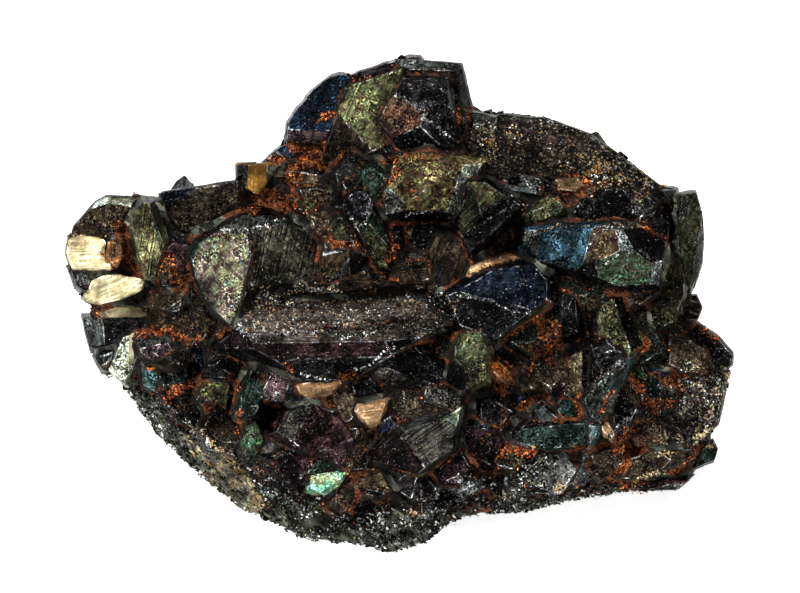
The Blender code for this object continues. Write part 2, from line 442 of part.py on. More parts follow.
# Crystals over the crest and behind it, where the face hides them: how far back each row lies (0 at the
# outline, 1 at the back end), how many crystals it has, and their radius in millimetres.
DRUSE_SEED = 11
DRUSE_ROWS = [(0.17, 16, 3.1), (0.27, 14, 5.4), (0.38, 13, 6.6), (0.49, 12, 7.5), (0.62, 8, 8.0)]
DRUSE_START, DRUSE_END = 0.55, 0.99   # places round the outline
DRUSE_STRAY = 0.04                    # how far a crystal strays from its row
DRUSE_STEPS = (0.2, 0.8)              # where in its step along the row it stands
DRUSE_SIZES = (0.75, 1.2)             # its radius, as a share of the row's
DRUSE_LEAN = 45.0                     # how far it leans at most, in degrees
DRUSE_TINTS = ["black", "black", "blueblack", "darkolive", "plum", "black", "darkgreen", "moss", "navy",
               "darkbrown", "charcoal", "olive", "steel"]
LENS_THICKNESS = 0.75                 # of a lens crystal, as a share of its radius
LENS_PROUD, LENS_DEEP = 0.6, 1.2      # how far its ends lie above and below its seat, in thicknesses
LENS_FACETS = ((3, 42.0, 0.74, 0.0),  # facets: count, turn from the axis, reach in radii, start
               (6, 76.0, 0.93, 30.0))

Lens = namedtuple("Lens", "around back radius lean tip spin tint")

# Smaller crystals that fill the gaps between those of the table
FILL_SEED = 7
FILL_RADII = (4.2, 3.4, 2.7)     # radii tried, largest first
FILL_TRIES = 500                 # places tried for each radius
FILL_FIELD = (-62.0, 62.0, -46.0, 44.0)   # where they are tried: a from, a to, b from, b to
FILL_NEAR = 32.0                 # neighbours are looked for within this
FILL_OVERLAP = 0.45              # how far one may reach in under its neighbours, as a share of its radius
FILL_APART = 1.6                 # how far from its nearest neighbour it may stand, in radii
FILL_SINK = (0.5, 3.5)           # how far it stays behind the neighbours' mean height
FILL_SIDES = (5, 6, 6, 7)
FILL_WOBBLE = 0.22               # how uneven the turns between its corners are, as a share of one turn
FILL_SPREAD = 1.15               # its corners' distance from its middle, in radii
FILL_RIGHT = (-24.0, 24.0)       # turn to the right and turn upward, in degrees
FILL_UP = (-14.0, 30.0)
FILL_DEPTH = 9.0
FILL_MARGIN = 0.10               # how far they stay inside the outline, as a share of the width
FILL_TINTS = ["black", "darkbrown", "black", "charcoal", "darkgreen", "blueblack", "plum", "darkolive",
              "brown"]
BARE_ROCK = [(-44, -30, 9), (-34, -37, 9), (-24, -44, 8), (-12, -47, 7), (0, -48, 8), (12, -43, 5),
             (64, -20, 5), (-63, -10, 6)]   # places where the rock stays bare: a, b and radius


def flank_distance(a, b, planes):
    """How far a point lies outside a crystal's flanks, looking straight at the face; below 0 inside."""
    return max(((a - point.x) * normal.x + (b - point.y) * normal.y) / normal.xy.length
               for point, normal in planes[1:-1])


def inside_outline(a, b, margin):
    """Whether a point of the face lies inside the matrix's outline, drawn in by a share of its width."""
    crossings = 0
    for index, (a1, b1, _) in enumerate(OUTLINE):
        a2, b2, _ = OUTLINE[(index + 1) % len(OUTLINE)]
        a1, b1, a2, b2 = (value * (1.0 - margin) for value in (a1, b1, a2, b2))
        if (b1 > b) != (b2 > b) and a < a1 + (a2 - a1) * (b - b1) / (b2 - b1):
            crossings += 1
    return crossings % 2 == 1


def fillers(radii=FILL_RADII):
    """Crystals for the gaps, each as a row like those of the table."""
    pick = random.Random(FILL_SEED)
    standing = [(shape.corners[0], shape.out, crystal_planes(shape)[0]) for shape in CRYSTALS]
    made = []
    for radius in radii:
        for _ in range(FILL_TRIES):
            a, b = pick.uniform(*FILL_FIELD[:2]), pick.uniform(*FILL_FIELD[2:])
            near = [row for row in standing
                    if abs(row[0][0] - a) < FILL_NEAR and abs(row[0][1] - b) < FILL_NEAR]
            if not near or not inside_outline(a, b, FILL_MARGIN):
                continue
            if any(math.hypot(a - c, b - d) < reach for c, d, reach in BARE_ROCK):
                continue
            ranked = sorted((flank_distance(a, b, planes), out) for _, out, planes in near)
            if not radius * (1.0 - FILL_OVERLAP) < ranked[0][0] < radius * FILL_APART:
                continue
            out = sum(value for _, value in ranked[:3]) / 3.0 - pick.uniform(*FILL_SINK)
            sides = pick.choice(FILL_SIDES)
            start = pick.uniform(0.0, 360.0)
            corners = []
            for side in range(sides):
                wobble = pick.uniform(-FILL_WOBBLE, FILL_WOBBLE)
                angle = math.radians(start + 360.0 * (side + wobble) / sides)
                reach = radius * FILL_SPREAD
                corners.append((a + reach * math.cos(angle), b + reach * math.sin(angle)))
            shape = crystal("fill_%d" % (len(made) + 1), pick.choice(FILL_TINTS), out,
                            pick.uniform(*FILL_RIGHT), pick.uniform(*FILL_UP), corners,
                            depth=FILL_DEPTH)
            made.append(shape)
            standing.append(((a, b), out, crystal_planes(shape)[0]))
    return made


def druse():
    """Lens crystals crowded in rows over the crest and the upper back."""
    pick = random.Random(DRUSE_SEED)
    lenses = []
    for back, count, radius in DRUSE_ROWS:
        for step in range(count):
            around = DRUSE_START + (DRUSE_END - DRUSE_START) * (step + pick.uniform(*DRUSE_STEPS)) / count
            lenses.append(Lens(around, back + pick.uniform(-DRUSE_STRAY, DRUSE_STRAY),
                               radius * pick.uniform(*DRUSE_SIZES),
                               pick.uniform(-DRUSE_LEAN, DRUSE_LEAN), pick.uniform(-DRUSE_LEAN, DRUSE_LEAN),
                               pick.uniform(0.0, 120.0), pick.choice(DRUSE_TINTS)))
    return lenses


def face_to_part():
    """The placing of the crystal face (a right, b up, c out) in the standing part, in millimetres."""
    level, rise = math.cos(FACE_RISE), math.sin(FACE_RISE)
    shift_x, shift_y = CENTRE_SHIFT
    return Matrix((
        (1.0, 0.0, 0.0, shift_x),
        (0.0, rise, -level, shift_y),
        (0.0, level, rise, FACE_HEIGHT),
        (0.0, 0.0, 0.0, 1.0),
    ))


def lifted(point, plane):
    """A point of the face, moved straight out or in until it lies on the plane."""
    position, normal = plane
    a, b = point
    drop = (a - position.x) * normal.x + (b - position.y) * normal.y
    return Vector((a, b, position.z - drop / normal.z))


def folded(plane, start, end, turn, flank):
    """The plane that leaves another one along the line from start to end, turned away to its right.

    A STEEP turn falls at the angle flank, in degrees from the crystal face.
    """
    first = lifted(start, plane)
    along = (lifted(end, plane) - first).normalized()
    if turn is STEEP:
        aside = Vector((along.y, -along.x, 0.0)).normalized()
        angle = math.radians(flank)
        downhill = aside * math.cos(angle) - Vector((0.0, 0.0, 1.0)) * math.sin(angle)
        normal = downhill.cross(along).normalized()
        return first, normal if normal.dot(aside) > 0.0 else -normal
    angle = math.radians(turn)
    outward = along.cross(plane[1])
    return first, (plane[1] * math.cos(angle) + outward * math.sin(angle)).normalized()


def corner_cuts(shape, middle, pick):
    """Two facets that take off corners of a crystal whose row gives no folds."""
    if shape.tint in UNCUT:
        return []
    cuts = []
    angle = pick.uniform(0.0, 360.0)
    for step in (0.0, pick.uniform(*CUT_APART)):
        aside = Vector((math.cos(math.radians(angle + step)), math.sin(math.radians(angle + step))))
        reach = max(aside.x * (a - middle[0]) + aside.y * (b - middle[1]) for a, b in shape.corners)
        foot = Vector(middle) + aside * reach * pick.uniform(*CUT_REACH)
        along = Vector((-aside.y, aside.x))
        tint = pick.choice((shape.tint, shape.tint, "black", "charcoal", "darkbrown"))
        cuts.append((0, tuple(foot - along), tuple(foot + along), pick.uniform(*CUT_TURNS), tint))
    return cuts


def crystal_planes(shape):
    """All planes that cut a crystal, and the tint of each."""
    count = len(shape.corners)
    middle = [sum(corner[axis] for corner in shape.corners) / count for axis in (0, 1)]
    lean = Vector((math.tan(math.radians(shape.right)), math.tan(math.radians(shape.up)), 1.0))
    front = (Vector((middle[0], middle[1], shape.out)), lean.normalized())
    planes = [front]
    tints = [shape.tint]
    pick = random.Random(shape.name)
    on_edge = shape.depth == THIN or not inside_outline(middle[0], middle[1], EDGE_SHARE)
    flanks = EDGE_FLANKS if on_edge else FLANKS
    for edge, start in enumerate(shape.corners, start=1):
        end = shape.corners[edge % count]
        planes.append(folded(front, start, end, shape.turns.get(edge, STEEP), pick.uniform(*flanks)))
        tints.append(shape.tints.get(edge, shape.tint))
    for parent, start, end, turn, tint in shape.folds or corner_cuts(shape, middle, pick):
        planes.append(folded(planes[parent], start, end, turn, pick.uniform(*flanks)))
        tints.append(tint)
    planes.append((front[0] - front[1] * shape.depth, -front[1]))
    tints.append(shape.tint)
    return planes, tints


def lens_planes(lens):
    """The planes of a lens crystal seated on the matrix: base, three rhomb facets and six steep ones."""
    seat = matrix_point(lens.around, lens.back)
    outward = (seat - Vector(HEART)).normalized()
    side = outward.cross(Vector((0.0, 0.0, 1.0))).normalized()
    tilt = Matrix.Rotation(math.radians(lens.lean), 3, side)
    sway = Matrix.Rotation(math.radians(lens.tip), 3, outward.cross(side))
    axis = (sway @ tilt @ outward).normalized()
    across = axis.orthogonal().normalized()
    thickness = lens.radius * LENS_THICKNESS
    planes = [(seat + axis * thickness * LENS_PROUD, axis), (seat - axis * thickness * LENS_DEEP, -axis)]
    for count, polar, reach, offset in LENS_FACETS:
        for step in range(count):
            angle = math.radians(lens.spin + 360.0 * step / count + offset)
            radial = Matrix.Rotation(angle, 3, axis) @ across
            normal = axis * math.cos(math.radians(polar)) + radial * math.sin(math.radians(polar))
            planes.append((seat + radial * lens.radius * reach, normal.normalized()))
    return planes, [lens.tint] * len(planes)


def outline_point(around):
    """A point of the matrix's widest outline; around runs from 0 to 1, once round."""
    place = (around % 1.0) * len(OUTLINE)
    index = int(place)
    here, following = Vector(OUTLINE[index]), Vector(OUTLINE[(index + 1) % len(OUTLINE)])
    return here.lerp(following, place - index)


def matrix_point(around, depth):
    """A point of the matrix's surface; depth is 1 at the back end, 0 at the outline, -1 in front."""
    edge = outline_point(around)
    pole = Vector(BACK_POLE if depth >= 0.0 else FRONT_POLE)
    angle = math.radians(90.0) * abs(depth)
    flat = pole.lerp(edge, math.cos(angle))
    point = Vector((flat.x, flat.y, edge.z + (pole.z - edge.z) * math.sin(angle)))
    for direction, distance in BREAKS:
        normal = Vector(direction).normalized()
        proud = (point - Vector(HEART)).dot(normal) - distance
        if proud > 0.0:
            point -= normal * proud * BREAK_FLATNESS
    strength = ROUGHNESS * min(1.0, abs(depth) * 4.0 + EDGE_ROUGHNESS)
    lumps = Vector([noise.noise(point / LUMP + Vector(shift)) for shift in LUMP_SHIFTS])
    return point + lumps * strength


def matrix_mesh():
    """The matrix as a closed net of rings between its two ends."""
    mesh = bmesh.new()
    depths = [-1.0 + ring / FRONT_RINGS for ring in range(1, FRONT_RINGS)]
    depths += [ring / BACK_RINGS for ring in range(BACK_RINGS)]
    rings = []
    for row, depth in enumerate(depths):
        offset = 0.5 * (row % 2)
        rings.append([mesh.verts.new(matrix_point((step + offset) / RING_POINTS, depth))
                      for step in range(RING_POINTS)])
    front = mesh.verts.new(matrix_point(0.0, -1.0))
    back = mesh.verts.new(matrix_point(0.0, 1.0))
    for row in range(len(rings) - 1):
        near, far = rings[row], rings[row + 1]
        for step in range(RING_POINTS):
            following = (step + 1) % RING_POINTS
            if row % 2 == 0:
                mesh.faces.new((near[step], near[following], far[step]))
                mesh.faces.new((near[following], far[following], far[step]))
            else:
                mesh.faces.new((near[step], far[following], far[step]))
                mesh.faces.new((near[step], near[following], far[following]))
    for step in range(RING_POINTS):
        following = (step + 1) % RING_POINTS
        mesh.faces.new((front, rings[0][following], rings[0][step]))
        mesh.faces.new((back, rings[-1][step], rings[-1][following]))
    bmesh.ops.recalc_face_normals(mesh, faces=mesh.faces)
    for face in mesh.faces:
        face.material_index = TINT_ORDER.index("grains")
    return mesh


def cut_block(planes, tints):
    """A block cut back to the planes, its new faces in their tints."""
    mesh = bmesh.new()
    bmesh.ops.create_cube(mesh, size=BLOCK, matrix=Matrix.Translation(planes[0][0]))
    for (point, normal), tint in zip(planes, tints):
        everything = mesh.verts[:] + mesh.edges[:] + mesh.faces[:]
        cut = bmesh.ops.bisect_plane(mesh, geom=everything, dist=CUT_TOLERANCE, plane_co=point,
                                     plane_no=normal, clear_outer=True)
        rim = [item for item in cut["geom_cut"] if isinstance(item, bmesh.types.BMEdge)]
        if len(rim) > 2:
            filled = bmesh.ops.edgeloop_fill(mesh, edges=rim)
            for face in filled["faces"]:
                face.material_index = TINT_ORDER.index(tint)
    bmesh.ops.remove_doubles(mesh, verts=mesh.verts, dist=CORNER_WELD)
    bmesh.ops.recalc_face_normals(mesh, faces=mesh.faces)
    return mesh


def tint_materials():
    """One material for each tint, in the order of the palette."""
    materials = []
    for name, (red, green, blue, roughness, metallic) in TINTS.items():
        material = bpy.data.materials.new(name)
        material.use_nodes = True
        shader = material.node_tree.nodes["Principled BSDF"]
        shader.inputs["Base Color"].default_value = (red, green, blue, 1.0)
        shader.inputs["Roughness"].default_value = roughness
        shader.inputs["Metallic"].default_value = metallic
        material.diffuse_color = (red, green, blue, 1.0)
        materials.append(material)
    return materials


def make_object(name, mesh, materials, collection):
    """A Blender object from a mesh on the crystal face, placed in the standing part in metres."""
    data = bpy.data.meshes.new(name)
    mesh.transform(Matrix.Scale(MM, 4) @ face_to_part())
    mesh.to_mesh(data)
    mesh.free()
    for material in materials:
        data.materials.append(material)
    made = bpy.data.objects.new(name, data)
    collection.objects.link(made)
    return made


def make_helper(made):
    """Marks an object as a construction solid."""
    made.hide_render = True
    made.display_type = "WIRE"


def floor_block(collection):
    """What the specimen's flat foot is sawn off with."""
    mesh = bmesh.new()
    bmesh.ops.create_cube(mesh, size=SAW_SIZE, matrix=Matrix.Translation((0.0, 0.0, -SAW_SIZE / 2.0)))
    data = bpy.data.meshes.new("floor_block")
    mesh.to_mesh(data)
    mesh.free()
    block = bpy.data.objects.new("floor_block", data)
    collection.objects.link(block)
    make_helper(block)
    return block


def shells(mesh):
    """The separate closed surfaces of a mesh, each as a set of faces."""
    left = set(mesh.faces)
    found = []
    while left:
        waiting = [left.pop()]
        shell = set(waiting)
        while waiting:
            beside = {face for edge in waiting.pop().edges for face in edge.link_faces} - shell
            shell |= beside
            waiting.extend(beside)
        left -= shell
        found.append(shell)
    return found


def settle(specimen):
    """Works out the Booleans, fills sealed hollows and keeps the result as the specimen's own mesh."""
    graph = bpy.context.evaluated_depsgraph_get()
    data = bpy.data.meshes.new_from_object(specimen.evaluated_get(graph))
    mesh = bmesh.new()
    mesh.from_mesh(data)
    bmesh.ops.remove_doubles(mesh, verts=mesh.verts, dist=WELD * MM)
    bmesh.ops.dissolve_degenerate(mesh, edges=mesh.edges, dist=WELD * MM)
    hollows = sorted(shells(mesh), key=len)[:-1]
    for hollow in hollows:
        bmesh.ops.delete(mesh, geom=list(hollow), context="FACES")
    mesh.to_mesh(data)
    mesh.free()
    specimen.modifiers.clear()
    specimen.data = data


def build():
    """The whole specimen as one solid."""
    for old in list(bpy.data.objects):
        bpy.data.objects.remove(old)
    scene_collection = bpy.context.scene.collection
    helpers = bpy.data.collections.new("crystals")
    scene_collection.children.link(helpers)
    materials = tint_materials()
    specimen = make_object("specimen", matrix_mesh(), materials, scene_collection)
    for shape in CRYSTALS + fillers():
        make_helper(make_object(shape.name, cut_block(*crystal_planes(shape)), materials, helpers))
    for number, lens in enumerate(druse(), start=1):
        make_helper(make_object("lens_%d" % number, cut_block(*lens_planes(lens)), materials, helpers))
    union = specimen.modifiers.new("grown together", "BOOLEAN")
    union.operation = "UNION"
    union.solver = "EXACT"
    union.operand_type = "COLLECTION"
    union.collection = helpers
    sawn = specimen.modifiers.new("flat foot", "BOOLEAN")
    sawn.operation = "DIFFERENCE"
    sawn.solver = "EXACT"
    sawn.object = floor_block(scene_collection)
    settle(specimen)


TINT_ORDER = list(TINTS)
build()
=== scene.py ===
"""Specularite specimen, dressed for its picture: crystals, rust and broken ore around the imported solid."""

import math
import random
from collections import namedtuple

import bmesh
import bpy
import numpy as np
from mathutils import Matrix, Vector, noise
from mathutils.bvhtree import BVHTree
from mathutils.kdtree import KDTree


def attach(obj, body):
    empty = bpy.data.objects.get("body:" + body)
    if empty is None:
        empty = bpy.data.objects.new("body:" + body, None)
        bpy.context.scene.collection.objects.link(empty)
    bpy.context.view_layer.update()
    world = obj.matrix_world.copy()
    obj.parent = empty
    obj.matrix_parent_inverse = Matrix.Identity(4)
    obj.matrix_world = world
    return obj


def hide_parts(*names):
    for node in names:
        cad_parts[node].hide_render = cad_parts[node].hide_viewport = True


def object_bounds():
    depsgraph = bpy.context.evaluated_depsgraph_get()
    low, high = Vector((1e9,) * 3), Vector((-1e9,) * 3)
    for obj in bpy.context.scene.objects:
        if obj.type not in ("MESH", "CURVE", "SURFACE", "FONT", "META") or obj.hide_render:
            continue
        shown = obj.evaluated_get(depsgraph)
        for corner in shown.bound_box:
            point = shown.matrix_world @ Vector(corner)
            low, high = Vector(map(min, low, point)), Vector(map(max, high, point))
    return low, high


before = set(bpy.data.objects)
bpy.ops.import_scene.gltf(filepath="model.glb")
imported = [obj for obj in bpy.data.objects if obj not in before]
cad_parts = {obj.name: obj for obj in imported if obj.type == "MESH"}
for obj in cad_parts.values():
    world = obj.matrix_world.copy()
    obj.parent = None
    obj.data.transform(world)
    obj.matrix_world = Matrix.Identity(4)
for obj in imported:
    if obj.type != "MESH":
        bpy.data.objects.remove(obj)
cad_low, cad_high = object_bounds()

MM = 0.001
FACE_RISE = math.radians(40.0)   # how far the crystal face's outward direction points above the level
FACE_HEIGHT = 38.0               # height of the middle of the crystal face above the rest plane
CENTRE_SHIFT = (0.145, -9.07)    # moves the middle of the footprint onto the origin
BLOCK = 90.0                     # side of the block that each crystal is cut from
CUT_TOLERANCE = 1e-5
CORNER_WELD = 0.01               # corners of one crystal closer than this are one corner

# Matrix: the rock behind the crystals, lofted from its widest outline to a front and a back end.
FRONT_POLE = (0.0, -3.0, 1.0)
BACK_POLE = (0.0, 4.0, -46.0)
HEART = (0.0, 0.0, -14.0)         # the middle of the matrix
ROUGHNESS = 1.7                  # how far lumps stand out of the loft
EDGE_ROUGHNESS = 0.25            # their height along the outline, as a share of that
LUMP = 13.0                      # size of a lump
LUMP_SHIFTS = [(0.0, 0.0, 0.0), (31.4, 17.2, 5.9), (-12.7, 42.3, 23.1)]
OUTLINE = [
    (-62, -3, -18), (-61, -12, -20), (-55, -19, -20), (-50, -27, -18), (-40, -36, -13), (-32, -42, -8),
    (-23, -46, -4), (-18, -49, -1), (-11, -48, 0), (-2, -51, 2), (6, -48, 0), (12, -43, -3),
    (23, -43, -5), (30, -41.6, -6), (40, -39.4, -9), (56, -38, -12), (63.6, -31, -15), (64.4, -24, -16),
    (66.6, -15, -16), (65, -9, -15), (60, -5, -14), (56, 2, -14), (55, 20, -12), (52, 23.4, -12),
    (44, 29, -13), (38, 33.4, -14), (30, 36.4, -15), (16, 37.6, -14), (8, 41, -12), (-4, 42, -12),
    (-16, 38, -12), (-22, 30, -12), (-32, 23, -11), (-44, 20, -11), (-52, 19, -12), (-62, 19, -13),
    (-66, 12, -14), (-65, 2, -16),
]

# Flat breaks in the matrix: the way each one faces, and its distance from the middle.
BREAKS = [
    ((0.15, 0.35, -1.0), 27.0), ((-0.55, 0.1, -1.0), 36.0), ((0.6, -0.25, -1.0), 38.0),
    ((0.1, 0.9, -0.8), 35.0), ((-0.9, 0.5, -0.5), 50.0), ((0.9, 0.45, -0.6), 50.0),
    ((-0.2, -0.5, -1.0), 31.0),
]
BREAK_FLATNESS = 0.9

# Tints: ground colour, mottling, patches, then roughness, metallic and strength of the tarnish play.
TINTS = {
    "black": ((0.003, 0.003, 0.004), (0.018, 0.018, 0.019), (0.070, 0.052, 0.046), 0.28, 0.75, 0.15),
    "blueblack": ((0.003, 0.005, 0.012), (0.016, 0.026, 0.044), (0.060, 0.060, 0.064), 0.28, 0.75, 0.15),
    "plum": ((0.008, 0.004, 0.005), (0.036, 0.017, 0.020), (0.080, 0.040, 0.042), 0.30, 0.65, 0.15),
    "darkbrown": ((0.018, 0.014, 0.010), (0.050, 0.036, 0.022), (0.095, 0.066, 0.036), 0.42, 0.55, 0.10),
    "brown": ((0.045, 0.032, 0.020), (0.115, 0.082, 0.050), (0.190, 0.145, 0.090), 0.52, 0.35, 0.10),
    "bronze": ((0.075, 0.058, 0.030), (0.160, 0.120, 0.060), (0.050, 0.050, 0.030), 0.40, 0.55, 0.10),
    "redbrown": ((0.050, 0.011, 0.008), (0.130, 0.030, 0.016), (0.040, 0.020, 0.014), 0.55, 0.20, 0.05),
    "ember": ((0.230, 0.052, 0.014), (0.440, 0.130, 0.034), (0.100, 0.026, 0.010), 0.80, 0.0, 0.05),
    "opal": ((0.200, 0.560, 0.300), (0.420, 0.500, 0.260), (0.360, 0.560, 0.640), 0.30, 0.30, 0.35),
    "rust": ((0.480, 0.100, 0.020), (0.850, 0.280, 0.080), (0.160, 0.035, 0.012), 0.80, 0.0, 0.05),
    "garnet": ((0.056, 0.038, 0.026), (0.105, 0.046, 0.032), (0.110, 0.095, 0.070), 0.40, 0.45, 0.15),
    "autumn": ((0.120, 0.070, 0.036), (0.230, 0.200, 0.086), (0.360, 0.270, 0.130), 0.42, 0.40, 0.30),
    "reed": ((0.130, 0.128, 0.066), (0.260, 0.250, 0.130), (0.050, 0.052, 0.024), 0.42, 0.40, 0.20),
    "schist": ((0.105, 0.082, 0.070), (0.220, 0.175, 0.145), (0.300, 0.260, 0.230), 0.50, 0.30, 0.10),
    "wall": ((0.022, 0.021, 0.015), (0.075, 0.070, 0.045), (0.050, 0.036, 0.022), 0.40, 0.50, 0.20),
    "mauve": ((0.060, 0.036, 0.048), (0.160, 0.100, 0.110), (0.120, 0.095, 0.050), 0.45, 0.40, 0.25),
    "olive": ((0.080, 0.086, 0.038), (0.165, 0.160, 0.075), (0.045, 0.062, 0.032), 0.42, 0.45, 0.30),
    "darkolive": ((0.018, 0.018, 0.010), (0.080, 0.076, 0.034), (0.120, 0.100, 0.046), 0.40, 0.55, 0.25),
    "moss": ((0.050, 0.056, 0.026), (0.125, 0.125, 0.056), (0.150, 0.120, 0.060), 0.42, 0.45, 0.30),
    "green": ((0.070, 0.086, 0.056), (0.050, 0.125, 0.048), (0.130, 0.055, 0.040), 0.34, 0.55, 0.45),
    "darkgreen": ((0.014, 0.026, 0.020), (0.034, 0.060, 0.046), (0.070, 0.075, 0.045), 0.34, 0.65, 0.25),
    "teal": ((0.030, 0.080, 0.075), (0.075, 0.150, 0.130), (0.110, 0.100, 0.060), 0.34, 0.60, 0.40),
    "palegreen": ((0.340, 0.420, 0.290), (0.620, 0.700, 0.540), (0.160, 0.180, 0.110), 0.40, 0.40, 0.15),
    "blue": ((0.018, 0.052, 0.088), (0.044, 0.112, 0.150), (0.080, 0.120, 0.110), 0.30, 0.65, 0.10),
    "navy": ((0.004, 0.010, 0.022), (0.012, 0.030, 0.048), (0.060, 0.048, 0.030), 0.30, 0.65, 0.10),
    "steel": ((0.060, 0.070, 0.064), (0.125, 0.138, 0.125), (0.080, 0.066, 0.042), 0.38, 0.60, 0.20),
    "silver": ((0.190, 0.205, 0.195), (0.420, 0.440, 0.420), (0.130, 0.120, 0.090), 0.38, 0.65, 0.10),
    "white": ((0.600, 0.620, 0.600), (0.900, 0.920, 0.900), (0.350, 0.340, 0.310), 0.35, 0.40, 0.05),
    "charcoal": ((0.026, 0.027, 0.027), (0.066, 0.066, 0.062), (0.110, 0.095, 0.060), 0.38, 0.60, 0.15),
    "tan": ((0.200, 0.112, 0.052), (0.370, 0.235, 0.120), (0.120, 0.060, 0.030), 0.78, 0.0, 0.0),
    "amber": ((0.260, 0.120, 0.022), (0.440, 0.230, 0.050), (0.130, 0.055, 0.018), 0.62, 0.0, 0.0),
    "orange": ((0.180, 0.066, 0.020), (0.340, 0.140, 0.048), (0.070, 0.030, 0.014), 0.80, 0.0, 0.0),
    "cream": ((0.270, 0.225, 0.115), (0.410, 0.350, 0.205), (0.190, 0.120, 0.055), 0.75, 0.0, 0.0),
    "rainbow": ((0.112, 0.119, 0.066), (0.142, 0.106, 0.094), (0.066, 0.124, 0.130), 0.36, 0.50, 0.45),
    "petrol": ((0.052, 0.072, 0.058), (0.078, 0.125, 0.118), (0.170, 0.088, 0.042), 0.34, 0.55, 0.50),
    "grains": ((0.006, 0.005, 0.005), (0.036, 0.030, 0.025), (0.300, 0.240, 0.160), 0.50, 0.40, 0.10),
}

STEEP = None                     # stands for a flank that falls away steeply inward
FLANKS = (72.0, 84.0)            # how steeply such flanks fall, in degrees from the face
EDGE_FLANKS = (84.0, 86.0)       # the same for crystals along the edge of the face
EDGE_SHARE = 0.16                # how far in from the outline the edge counts, as a share of the width
CUT_TURNS = (24.0, 46.0)         # turn of the facets that take off a plain crystal's corners, in degrees
CUT_REACH = (0.30, 0.62)         # their distance from its middle, as a share of its half width
CUT_APART = (90.0, 200.0)        # how far apart the two corners lie, in degrees round the crystal
UNCUT = ("cream", "tan", "amber", "orange", "grains")
DEEP = 14.0                      # how far a crystal reaches in behind its front facet
THIN = 8.0                       # the same for crystals along the edge of the face

Crystal = namedtuple("Crystal", "name tint out right up corners turns depth folds tints")


def crystal(name, tint, out, right, up, corners, turns=None, depth=DEEP, folds=(), tints=None):
    """One crystal: its front facet's corners, counter-clockwise, and the facets that fold away.

    The front facet's middle lies out from the face, and the facet leans right and up by degrees. Edge 1
    runs from the first corner to the second. turns gives the turn over an edge in degrees, where it isn't
    STEEP. A fold (facet, start, end, turn, tint) adds a facet beyond a line drawn on facet 0, 1, 2 ...
    """
    return Crystal(name, tint, out, right, up, corners, turns or {}, depth, folds, tints or {})


